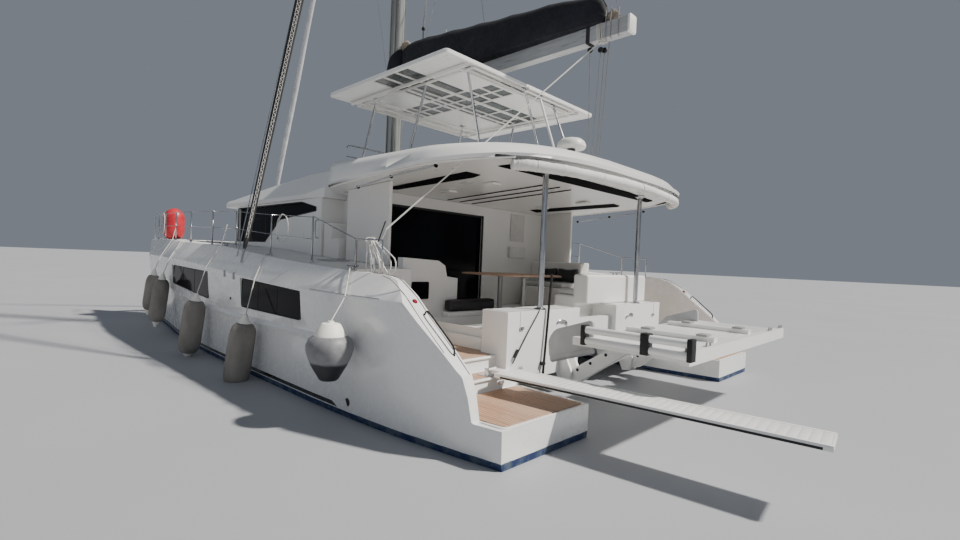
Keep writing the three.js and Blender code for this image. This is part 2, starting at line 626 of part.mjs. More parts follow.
const hardtopPole = (y) => rod(
  [POLE_X, y, BLOCK_TOP_Z + SEAT_GAP], [POLE_X, y, underRim(POLE_X + 40) - SEAT_GAP - 3], 42, 12);
addPart('port_hardtop_pole', hardtopPole(POLE_Y), 'steel');
addPart('starboard_hardtop_pole', hardtopPole(-POLE_Y), 'steel');

// Flybridge on the roofs: coaming, helm and seats
const BRIDGE_FLOOR = BRIDGE_SOLE_Z + SEAT_GAP;
const coamingPlan = (inset) => [
  [-5600 + inset, 1700 - inset], [-5300 + inset, 2050 - inset], [-1500 - inset, 2150 - inset],
  [-1000 - inset, 1800 - inset], [-1000 - inset, -1800 + inset], [-1500 - inset, -2150 + inset],
  [-5300 + inset, -2050 + inset], [-5600 + inset, -1700 + inset],
];
const coaming = cut(
  prismZ(coamingPlan(0), BRIDGE_FLOOR, COAMING_TOP_Z),
  prismZ(coamingPlan(COAMING_WALL), BRIDGE_FLOOR - 10, COAMING_TOP_Z + 10));
addPart('flybridge_coaming', coaming, 'gelcoat');

const HELM = { forward: -1135, aft: -1560, y0: 250, y1: 1300, top: 4080 };
addPart('helm_console', prismY([
  [HELM.forward, BRIDGE_FLOOR], [HELM.forward, HELM.top], [HELM.aft + 110, HELM.top],
  [HELM.aft, HELM.top - 130], [HELM.aft, BRIDGE_FLOOR],
], HELM.y0, HELM.y1), 'gelcoat');

// Seat that runs across the after end of the flybridge and forward along its starboard side
const insideCoaming = prismZ(coamingPlan(COAMING_WALL + SEAT_GAP), BRIDGE_FLOOR, COAMING_TOP_Z - 20);
addPart('flybridge_seat', insideCoaming.intersect(join(
  box(-5600, -5110, -2200, 2200, 3500, 4000),
  box(-5200, -2900, -2200, -1800, 3500, 4000),
)), 'cushion');

const WHEEL = { x: -1640, y: 800, z: 3870, radius: 230 };
const steeringWheel = () => {
  const rim = toSolid(new THREE.TorusGeometry(WHEEL.radius, 14, 6, 20)
    .rotateY(Math.PI / 2).translate(WHEEL.x, WHEEL.y, WHEEL.z));
  const spoke = (angle) => rod(
    [WHEEL.x, WHEEL.y - WHEEL.radius * Math.cos(angle), WHEEL.z - WHEEL.radius * Math.sin(angle)],
    [WHEEL.x, WHEEL.y + WHEEL.radius * Math.cos(angle), WHEEL.z + WHEEL.radius * Math.sin(angle)], 9, 6);
  const hub = rod([WHEEL.x - 25, WHEEL.y, WHEEL.z], [HELM.aft - SEAT_GAP, WHEEL.y, WHEEL.z], 40, 10);
  return join(rim, ...[0, Math.PI / 3, 2 * Math.PI / 3].map(spoke), hub);
};
addPart('steering_wheel', steeringWheel(), 'steel');

// Bimini: posts that stand on the flybridge, and the flat top that they carry
const BIMINI_POSTS = [
  // topX, footX, y, footZ
  [-1650, -1065, 1440, COAMING_TOP_Z],
  [-3310, -2720, 1500, BRIDGE_SOLE_Z],
  [-4350, -4800, 1480, BRIDGE_SOLE_Z],
  [-1650, -1300, -1010, BRIDGE_SOLE_Z],
  [-2720, -2350, -1650, BRIDGE_SOLE_Z],
  [-4360, -5050, -950, BRIDGE_SOLE_Z],
  [-4500, -5060, 140, BRIDGE_SOLE_Z],
];
const BIMINI = { aft: -4550, forward: -1000, y: 2150, thick: 80 };
const biminiFrame = () => {
  const posts = BIMINI_POSTS.map(([topX, footX, y, footZ]) =>
    rod([footX, y, footZ - 60], [topX, y, BIMINI_Z - 30], 24));
  const edge = bentRod([
    [BIMINI.aft + 60, -1500, BIMINI_Z - 30], [BIMINI.aft + 60, 1500, BIMINI_Z - 30],
    [BIMINI.forward - 60, 1500, BIMINI_Z - 30], [BIMINI.forward - 60, -1500, BIMINI_Z - 30],
    [BIMINI.aft + 60, -1500, BIMINI_Z - 30],
  ], 24);
  const cross = BIMINI_POSTS.map(([topX]) =>
    rod([topX, -1500, BIMINI_Z - 30], [topX, 1500, BIMINI_Z - 30], 20));
  const beams = [-1650, 1650].map((y) => box(-4490, -1060, y - 20, y + 20, BIMINI_Z - 50, BIMINI_Z));
  const ends = [-4300, -1300].map((x) => box(x - 20, x + 20, -1660, 1660, BIMINI_Z - 50, BIMINI_Z));
  return join(...posts, edge, ...cross, ...beams, ...ends);
};
addPart('bimini_frame', cut(seatedOn(biminiFrame(), join(hardtop, coachroof, coaming)),
  box(-FAR, FAR, -FAR, FAR, BIMINI_Z - SEAT_GAP, FAR)), 'steel');
addPart('bimini_top', box(
  BIMINI.aft, BIMINI.forward, -BIMINI.y, BIMINI.y, BIMINI_Z, BIMINI_Z + BIMINI.thick), 'gelcoat');

// Mast with its spreaders, stepped on the coachroof
const mastOutline = (grow) => Array.from({ length: 16 }, (_, i) => {
  const angle = (i / 16) * 2 * Math.PI;
  return [MAST_X + (MAST_HALF_LENGTH + grow) * Math.cos(angle), (MAST_HALF_WIDTH + grow) * Math.sin(angle)];
});
const mastTube = (grow) => prismZ(mastOutline(grow), MAST_FOOT_Z + SEAT_GAP, MAST_TOP_Z);
const spreader = (z, length) => prismZ([
  [MAST_X + 60, 0], [MAST_X - 320, length], [MAST_X - 400, length], [MAST_X - 120, 0],
], z, z + 45);
const gooseneckShelf = prismY([
  [MAST_X - 150, 5560], [BOOM_PIVOT_X - 60, 5650], [BOOM_PIVOT_X - 60, BOOM_BOTTOM_Z - SEAT_GAP],
  [MAST_X - 150, BOOM_BOTTOM_Z - SEAT_GAP],
], -50, 50);
const GOOSENECK_PIN = 20;
const gooseneckPin = (maker) => maker(
  [BOOM_PIVOT_X, 0, 5700], [BOOM_PIVOT_X, 0, BOOM_TOP_Z + 25], GOOSENECK_PIN, 24);
const mast = join(
  mastTube(0), gooseneckShelf, gooseneckPin(rod),
  ...[[9800, 1250], [15400, 1050]].flatMap(([z, length]) =>
    [spreader(z, length), mirrorY(spreader(z, length))]),
  rod(STAY_HEAD, alongStay(STAY_HEAD, 400), 24),
  box(MAST_X - 520, MAST_X + 330, -40, 40, MAST_TOP_Z - 40, MAST_TOP_Z + 60),
);
addPart('mast', mast, 'paintedSpar');

// Boom and the stowed mainsail in its cover
const boomOutline = [
  ...Array.from({ length: 7 }, (_, i) => {
    const angle = -Math.PI / 2 + (i / 6) * Math.PI;
    return [BOOM_PIVOT_X + BOOM_HALF_WIDTH * Math.cos(angle), BOOM_HALF_WIDTH * Math.sin(angle)];
  }),
  [BOOM_END_X, BOOM_HALF_WIDTH], [BOOM_END_X, -BOOM_HALF_WIDTH],
];
addPart('boom', cut(
  prismZ(boomOutline, BOOM_BOTTOM_Z, BOOM_TOP_Z), gooseneckPin(bore)), 'paintedSpar');

const COVER = [
  // x, top, shoulder, foot
  [-640, 7080, 30, 90],
  [-1000, 7090, 90, 240],
  [-2070, 6990, 110, 280],
  [-3750, 6790, 110, 260],
  [-5240, 6640, 100, 210],
  [-5950, 6480, 70, 140],
  [-6050, 6300, 40, 90],
];
const coverRing = ([x, top, shoulder, foot]) => {
  const base = BOOM_TOP_Z + SEAT_GAP;
  const height = top - base;
  const side = [
    [foot * 0.75, base], [foot, base + height * 0.18], [foot * 0.95, base + height * 0.4],
    [(foot + shoulder) / 2, base + height * 0.75], [shoulder, base + height * 0.95],
  ];
  return [
    ...side.map(([y, z]) => [x, y, z]), [x, 0, top],
    ...side.toReversed().map(([y, z]) => [x, -y, z]),
  ];
};
addPart('sail_cover', loft(COVER.map(coverRing)), 'navyCanvas');

// Furled headsail round the forestay: [distance up the stay, radius]
const stayLength = vector(STAY_HEAD).distanceTo(vector(STAY_FOOT));
const HEADSAIL = [
  [SEAT_GAP, 0], [SEAT_GAP, 30], [110, 30], [110, 105], [260, 105], [260, 32], [700, 45],
  [3500, 78], [9000, 70], [stayLength - 1500, 35], [stayLength - SEAT_GAP, 24], [stayLength - SEAT_GAP, 0],
].map(([distance, radius]) => [radius, distance]);
addPart('furled_headsail', lathe(HEADSAIL, vector(STAY_FOOT), stayLine, 10), 'whiteCanvas');

// Main shrouds, from the topsides to the mast
const shroudFoot = [-1000, 3880, 1700];
const shroudHead = [MAST_X - 20, 60, SHROUD_HOUND_Z];
const shroud = cut(seatedOn(rod(shroudFoot, shroudHead, 10, 6), hulls, [0, SEAT_GAP, SEAT_GAP]),
  mastTube(SEAT_GAP));
addPart('port_shroud', shroud, 'steel');
addPart('starboard_shroud', mirrorY(shroud), 'steel');

// Light sail stowed in its laced sock beside the port shroud
const SOCK_FOOT = [-1430, 3930, 1790];
const SOCK_HEAD = [MAST_X - 140, 260, 20000];
const sockLine = vector(SOCK_HEAD).sub(vector(SOCK_FOOT));
const sockLength = sockLine.length();
const SOCK = [
  [0, 0], [22, 0], [22, 260], [48, 420], [62, 2600], [88, 6500], [80, 11000], [40, sockLength - 900],
  [12, sockLength - 500], [12, sockLength + 900], [0, sockLength + 900],
];
addPart('laced_sail_sock', cut(
  seatedOn(lathe(SOCK, vector(SOCK_FOOT), sockLine, 10), hulls, [0, SEAT_GAP, SEAT_GAP]),
  mastTube(SEAT_GAP)), 'blackCanvas');

// Rudders, drive legs and propellers
const rudder = () => {
  const blade = (z, nose, tail, half) => [
    [RUDDER_X + nose, HULL_MID_Y, z], [RUDDER_X + nose * 0.4, HULL_MID_Y + half, z],
    [RUDDER_X, HULL_MID_Y + half, z], [RUDDER_X + tail, HULL_MID_Y, z],
    [RUDDER_X, HULL_MID_Y - half, z], [RUDDER_X + nose * 0.4, HULL_MID_Y - half, z],
  ];
  return join(
    loft([blade(-1270, 110, -330, 40), blade(-560, 150, -430, 55)]),
    rod([RUDDER_X, HULL_MID_Y, -700], [RUDDER_X, HULL_MID_Y, 190], RUDDER_STOCK, 16));
};
addPart('port_rudder', rudder(), 'antifouling');
addPart('starboard_rudder', mirrorY(rudder()), 'antifouling');

const driveLeg = () => {
  const section = (z, nose, tail, half) => [
    [PROP_X + 330 + nose, HULL_MID_Y, z], [PROP_X + 330, HULL_MID_Y + half, z],
    [PROP_X + 330 + tail, HULL_MID_Y, z], [PROP_X + 330, HULL_MID_Y - half, z],
  ];
  const leg = loft([section(-1150, 90, -110, 35), section(-560, 180, -160, 80)]);
  const bulb = lathe([[0, 0], [52, 0], [60, 120], [45, 360], [0, 460]],
    new THREE.Vector3(PROP_X + 60, HULL_MID_Y, PROP_Z), AXIS_X, 10);
  return seatedOn(join(leg, bulb), portHull, [0, 0, -SEAT_GAP]);
};
addPart('port_drive_leg', driveLeg(), 'gelcoat');
addPart('starboard_drive_leg', mirrorY(driveLeg()), 'gelcoat');

const propeller = () => {
  const hub = rod([PROP_X - 60, HULL_MID_Y, PROP_Z], [PROP_X + 60 - SEAT_GAP, HULL_MID_Y, PROP_Z], 42, 12);
  const blade = toSolid(new THREE.BoxGeometry(14, 120, PROP_RADIUS - 30)
    .translate(0, 0, (PROP_RADIUS + 30) / 2).rotateZ(0.5));
  const blades = [0, 120, 240].map((turn) => blade.rotate([turn, 0, 0])
    .translate([PROP_X, HULL_MID_Y, PROP_Z]));
  return join(hub, ...blades);
};
addPart('port_propeller', propeller(), 'bronze');
addPart('starboard_propeller', propeller().translate([0, -2 * HULL_MID_Y, 0]), 'bronze');

// Tender lift: two arms joined by an arched plate, and the table that they carry
const liftArm = (y) => {
  const [px, pz, tx, tz] = [LIFT_PIVOT.x, LIFT_PIVOT.z, LIFT_TABLE_PIVOT.x, LIFT_TABLE_PIVOT.z];
  const arm = prismY([
    [px + 70, pz - 20], [px + 50, pz + 70], [px - 60, pz + 100], [tx + 60, tz + 50], [tx - 50, tz + 30],
    [tx - 60, tz - 60], [px - 200, pz - 60], [px, pz - 80],
  ], y - LIFT_ARM_HALF, y + LIFT_ARM_HALF);
  const holes = [LIFT_PIVOT, LIFT_TABLE_PIVOT].map((pivot) =>
    bore(...acrossArm(pivot, y, ARM_GAP), LIFT_PIN));
  return cut(arm, ...holes);
};
const archPlate = () => {
  const steps = 8;
  const arch = Array.from({ length: steps + 1 }, (_, i) => {
    const y = -LIFT_ARM_Y + (2 * LIFT_ARM_Y * i) / steps;
    return [y, 560 + 90 * Math.cos((y / LIFT_ARM_Y) * Math.PI / 2)];
  });
  return prismX([...arch, [LIFT_ARM_Y, 760], [-LIFT_ARM_Y, 760]], -6860, -6810);
};
addPart('lift_arms', join(
  liftArm(LIFT_ARM_Y), liftArm(-LIFT_ARM_Y), archPlate(),
), 'gelcoat');

const LIFT = { forward: -6950, aft: -8350, y: 1950 };
const liftEars = (y) => {
  const ear = (y0) => prismY([[-7100, 1020], [-7400, 1020], [-7310, 900], [-7190, 900]], y0, y0 + CHEEK);
  const pin = rod(...acrossArm(LIFT_TABLE_PIVOT, y, ARM_GAP + CHEEK), LIFT_PIN, 24);
  return join(ear(y + ARM_GAP), ear(y - ARM_GAP - CHEEK), pin);
};
const armSlot = (y) => box(-7420, LIFT.forward + 10, y - ARM_GAP, y + ARM_GAP, 0, LIFT_TOP_Z + 10);
const liftTable = join(
  cut(
    box(LIFT.aft, LIFT.forward, -LIFT.y, LIFT.y, LIFT_TOP_Z - 100, LIFT_TOP_Z),
    armSlot(LIFT_ARM_Y), armSlot(-LIFT_ARM_Y)),
  liftEars(LIFT_ARM_Y), liftEars(-LIFT_ARM_Y),
  ...[1, -1].map((side) =>
    box(-8250, -7050, side * 700 - 60, side * 700 + 60, LIFT_TOP_Z - 10, LIFT_TOP_Z + 60)),
  box(LIFT.aft - 60, LIFT.aft + 40, -LIFT.y, LIFT.y, LIFT_TOP_Z - 130, LIFT_TOP_Z + 25),
);
addPart('lift_table', liftTable, 'gelcoat');

// Gangway that hinges on the port steps, drawn along its own length from the hinge pin and then turned
const GANGWAY = { x: -6201, y: 2620, z: 628, heading: 185.15, half: 225, start: 220, end: 3563 };
const GANGWAY_BOTTOM = 600;
const GANGWAY_TOP = 655;
const GANGWAY_PIN = 12;
const TONGUE_HALF = 80;
const LUG = 20;
const placedGangway = (solid) =>
  solid.rotate([0, 0, GANGWAY.heading]).translate([GANGWAY.x, GANGWAY.y, 0]);
const hingeLine = (reach) => [[0, -reach, GANGWAY.z], [0, reach, GANGWAY.z]];

addPart('gangway', placedGangway(join(
  box(GANGWAY.start, GANGWAY.end, -GANGWAY.half, GANGWAY.half, GANGWAY_BOTTOM, GANGWAY_TOP),
  cut(
    box(-35, GANGWAY.start + 1, -TONGUE_HALF, TONGUE_HALF, GANGWAY_BOTTOM, GANGWAY_TOP),
    bore(...hingeLine(TONGUE_HALF + 1), GANGWAY_PIN)),
)), 'gelcoat');

const gangwayLug = (y) => box(-30, 30, y, y + LUG, LOW_STEP_Z + 10, 660);
addPart('gangway_socket', placedGangway(join(
  box(-110, 55, -150, 150, LOW_STEP_Z + SEAT_GAP, LOW_STEP_Z + 15),
  gangwayLug(TONGUE_HALF + 6), gangwayLug(-TONGUE_HALF - 6 - LUG),
  rod(...hingeLine(TONGUE_HALF + 6 + LUG), GANGWAY_PIN, 24),
)), 'steel');

// Cockpit furniture
addPart('cockpit_table', join(
  box(-5000, -3700, -650, 850, 1750, 1790),
  box(-4700, -4580, 40, 160, SOLE_Z + SEAT_GAP, 1755),
  box(-4120, -4000, 40, 160, SOLE_Z + SEAT_GAP, 1755),
), 'teak');

addPart('port_lounge', join(
  box(-4100, BULKHEAD_X - 260, 1350, COCKPIT_WALL_Y - WALL - SEAT_GAP, SOLE_Z + SEAT_GAP, 1480),
  prismX([[1350, SOLE_Z + SEAT_GAP], [2535, SOLE_Z + SEAT_GAP], [2535, 2010], [1800, 1980], [1650, 1900],
    [1600, 1720], [1350, 1690]], -4180, -4040),
), 'cushion');

addPart('starboard_bench', join(
  box(-4390, BULKHEAD_X - 260, -2200, -1500, SOLE_Z + SEAT_GAP, 1500),
  box(-4390, BULKHEAD_X - SEAT_GAP, -COCKPIT_WALL_Y + WALL + SEAT_GAP, -2195, SOLE_Z + SEAT_GAP, 2060),
), 'gelcoat');

addPart('after_bench', join(
  box(BLOCK_FORWARD_X + SEAT_GAP, -5250, -2150, 0, SOLE_Z + SEAT_GAP, 1480),
  box(-5930, BLOCK_FORWARD_X + 60, -2150, 0, BLOCK_TOP_Z + SEAT_GAP, 1850),
), 'cushion');

// Guard rails: stanchions, pulpit and wires joined along each side
const STANCHION_X = [-3400, -1950, -400, 900, 2300, 3700, 5100, 6300];
const RAIL_Y = 3650;
const railY = (x) => Math.min(RAIL_Y, lineAt(x, 'edgeY') - 60);
const RAIL_HEIGHT = 700;
const LOW_WIRE = 360;
const WIRE_RADIUS = 6;
const TAIL_X = [-5200, -4600];
const TAIL_HEIGHT = 420;
const TAIL_RADIUS = 10;
const railPoint = (x, height) => [x, railY(x), deckZ(x, railY(x)) + height];

// The point of a straight wire between its two nearest supports.
const wirePoint = (x, supports, height) => {
  const next = supports.findIndex((support, i) => i > 0 && support >= x);
  const [a, b] = [railPoint(supports[next - 1], height), railPoint(supports[next], height)];
  return a.map((value, axis) => value + (b[axis] - value) * (x - a[0]) / (b[0] - a[0]));
};
const HIGH_WIRE = RAIL_HEIGHT - 10;
const guardWire = (height, radius = WIRE_RADIUS) =>
  bentRod(STANCHION_X.map((x) => railPoint(x, height)), radius, 4);
const [tailForward, tailAft] = TAIL_X.map((x) => railPoint(x, TAIL_HEIGHT)).reverse();
const tailRail = (radius = TAIL_RADIUS) => bentRod(
  [railPoint(-3400, RAIL_HEIGHT), tailForward, tailAft, railPoint(TAIL_X[0], -30)], radius);
const guardRail = () => {
  const posts = STANCHION_X.map((x) => rod(railPoint(x, -30), railPoint(x, RAIL_HEIGHT), 14));
  const pulpit = bentRod([
    railPoint(6300, RAIL_HEIGHT), railPoint(7150, RAIL_HEIGHT), [7180, 3215, deckZ(7180, 3215) - 30],
  ], 16);
  const foot = rod(tailForward, railPoint(TAIL_X[1], -30), 14);
  return seatedOn(
    join(...posts, guardWire(HIGH_WIRE), guardWire(LOW_WIRE), pulpit, tailRail(), foot), hulls);
};
addPart('port_guard_rail', guardRail(), 'steel');
addPart('starboard_guard_rail', mirrorY(guardRail()), 'steel');

// Mooring rope hung in long loops inside the low after rail: a plain body of its outer shape
const HANK = { x: -4820, low: 1768, neck: 2178, top: 2256, inner: 3500, outer: 3599, headHalf: 58 };
const hankFan = prismY([
  [HANK.x + HANK.headHalf, HANK.neck + 4], [-4700, 2080], [-4680, 1850], [-4730, HANK.low],
  [-5270, HANK.low], [-5340, 1820], [-5335, 1900], [-5230, 2040], [-5080, 2140],
  [HANK.x - HANK.headHalf, HANK.neck + 4],
], HANK.inner, HANK.outer);
const hankHead = box(
  HANK.x - HANK.headHalf, HANK.x + HANK.headHalf, HANK.inner, RAIL_Y + 2, HANK.neck, HANK.top);
addPart('rail_hank', cut(join(hankFan, hankHead), tailRail(TAIL_RADIUS + 2 * SEAT_GAP)), 'net');

// Light line hung in an open coil inside the guard wires: a plain ring of its outer shape
const COIL = { x: -2330, z: 2415, halfWidth: 225, halfHeight: 255, thick: 45, depth: 40 };
const coilPlate = (inset) => prismY(Array.from({ length: 16 }, (_, i) => {
  const angle = (i / 16) * 2 * Math.PI;
  return [
    COIL.x + (COIL.halfWidth - inset) * Math.cos(angle), COIL.z + (COIL.halfHeight - inset) * Math.sin(angle),
  ];
}), RAIL_Y + 2 - COIL.depth - 10 * Math.sign(inset), RAIL_Y + 2 + 10 * Math.sign(inset));
addPart('wire_coil', cut(coilPlate(0), coilPlate(COIL.thick),
  guardWire(HIGH_WIRE, WIRE_RADIUS + 2 * SEAT_GAP), guardWire(LOW_WIRE, WIRE_RADIUS + 2 * SEAT_GAP)), 'net');

// Fenders along the port side, each with the lanyard that hangs it from the lower wire
const FENDERS = [
  // x, bottom, top, radius
  [3500, 380, 1480, 150],
  [2500, 220, 1430, 165],
  [-80, -70, 1180, 190],
  [-2400, -230, 1000, 195],
].map(([x, bottom, top, radius]) => ({ x, bottom, top, radius }));
const ROPE = 8;
const lanyard = (x, y, top, [wireX, wireY, wireZ], wireRadius) => bentRod([
  [x, y, top],
  [x, lineAt(x, 'kneeY') + 2 * ROPE, lineAt(x, 'kneeZ') + 6],
  [x, lineAt(x, 'edgeY') + ROPE, lineAt(x, 'edgeZ') + 2 * ROPE],
  [wireX, wireY, wireZ - wireRadius - 2 * SEAT_GAP],
], ROPE, 6);
const fenderProfile = (radius, length) => [
  [0, 0], [radius * 0.45, 20], [radius * 0.9, radius * 0.6], [radius, radius],
  [radius, length - radius], [radius * 0.9, length - radius * 0.6], [radius * 0.45, length - 20],
  [0, length],
];
FENDERS.forEach(({ x, bottom, top, radius }, i) => {
  const y = Math.max(lineAt(x, 'kneeY'), lineAt(x, 'ledgeY') + 15) + radius + 5;
  const body = lathe(fenderProfile(radius, top - bottom), new THREE.Vector3(x, y, bottom), AXIS_Z, 12);
  const rope = lanyard(x, y, top - 30, wirePoint(x, STANCHION_X, LOW_WIRE), WIRE_RADIUS);
  addPart(`fender_${i + 1}`, join(body, rope), 'fenderSleeve');
});

const BALL_FENDER = { x: -5180, radius: 300, bottom: 540, top: 1250 };
const ballFender = () => {
  const { x, radius, bottom, top } = BALL_FENDER;
  const y = lineAt(x, 'kneeY') + radius + 5;
  const outline = [
    [0, 0], [radius * 0.5, 25], [radius * 0.86, 130], [radius, 290], [radius * 0.9, 430],
    [radius * 0.55, 560], [60, 610], [60, top - bottom], [0, top - bottom],
  ];
  const rope = lanyard(x, y, top - 20, wirePoint(x, TAIL_X, TAIL_HEIGHT), TAIL_RADIUS);
  return join(lathe(outline, new THREE.Vector3(x, y, bottom), AXIS_Z, 14), rope);
};
addPart('ball_fender', ballFender(), 'fenderSleeve');

// Red buoy that stands on the port bow
const BUOY = { x: 5650, y: 3120, radius: 260, height: 880 };
const buoy = lathe([
  [0, 0], [150, 0], [230, 90], [BUOY.radius, 260], [BUOY.radius, 620], [200, 780], [90, 860],
  [0, BUOY.height],
], new THREE.Vector3(BUOY.x, BUOY.y, deckZ(BUOY.x, BUOY.y) - 20), AXIS_Z, 14);
addPart('bow_buoy', seatedOn(buoy, hulls), 'redVinyl');

export default vessel;
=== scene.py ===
"""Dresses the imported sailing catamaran: smooth shells, canvas, teak, rigging, glass and deck gear.

Metres. +X is forward, +Y to port, +Z up. The floor lies in the waterline, at Z = 0."""

import json
import math

import bmesh
import bpy
from mathutils import Matrix, Vector


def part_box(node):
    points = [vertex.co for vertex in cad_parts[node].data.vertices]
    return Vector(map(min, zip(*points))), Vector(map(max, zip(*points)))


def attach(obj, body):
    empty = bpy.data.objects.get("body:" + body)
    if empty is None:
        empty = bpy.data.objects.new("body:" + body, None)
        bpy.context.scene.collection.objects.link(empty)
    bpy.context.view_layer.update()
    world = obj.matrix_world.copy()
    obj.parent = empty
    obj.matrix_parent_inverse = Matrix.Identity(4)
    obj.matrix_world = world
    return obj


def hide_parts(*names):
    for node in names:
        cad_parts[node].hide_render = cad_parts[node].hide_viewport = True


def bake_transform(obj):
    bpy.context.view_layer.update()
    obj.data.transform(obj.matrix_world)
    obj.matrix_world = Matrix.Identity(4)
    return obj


bl_info = {
    "name": "Sailing catamaran",
    "version": (1, 0, 0),
    "blender": (4, 5, 0),
    "location": "View3D > Sidebar > Catamaran",
    "description": "Dresses the packed catamaran with shells, canvas, teak, rigging and deck gear",
    "category": "Object",
}

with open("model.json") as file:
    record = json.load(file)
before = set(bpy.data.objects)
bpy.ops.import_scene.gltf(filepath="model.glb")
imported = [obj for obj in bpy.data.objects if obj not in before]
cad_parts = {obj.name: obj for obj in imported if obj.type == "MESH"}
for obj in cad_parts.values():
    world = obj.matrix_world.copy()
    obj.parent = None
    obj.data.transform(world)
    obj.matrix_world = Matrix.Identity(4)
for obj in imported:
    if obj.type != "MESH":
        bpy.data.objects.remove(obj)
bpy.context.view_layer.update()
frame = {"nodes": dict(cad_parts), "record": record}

# Levels and lines that several pieces share, in metres
WATER_EDGE = 0.065
PLATFORM_Z = 0.39
LOW_STEP_Z = 0.56
FLOOR_Z = 0.75
SOLE_Z = 1.05
BOOM_TOP_Z = 5.985
MAST_X = -0.28
STAY_FOOT = Vector((6.9, 0, 2.25))
STAY_HEAD = Vector((0.02, 0, 20.5))
SOCK_FOOT = Vector((-1.43, 3.93, 1.79))
SOCK_HEAD = Vector((-0.42, 0.26, 20.0))
UP = Vector((0, 0, 1))
# Angle in degrees below which the edge between two faces looks smooth
SMOOTH_ANGLE = 32


def even_angles(count):
    """Angles that divide a full turn into equal parts."""
    return [2 * math.pi * k / count for k in range(count)]


def round_line(start, turn, radius, angle, reach=0.0):
    """A point beside a line: its distance and angle from the line, and how far along it lies."""
    return start + turn @ Vector((radius * math.cos(angle), radius * math.sin(angle), reach))


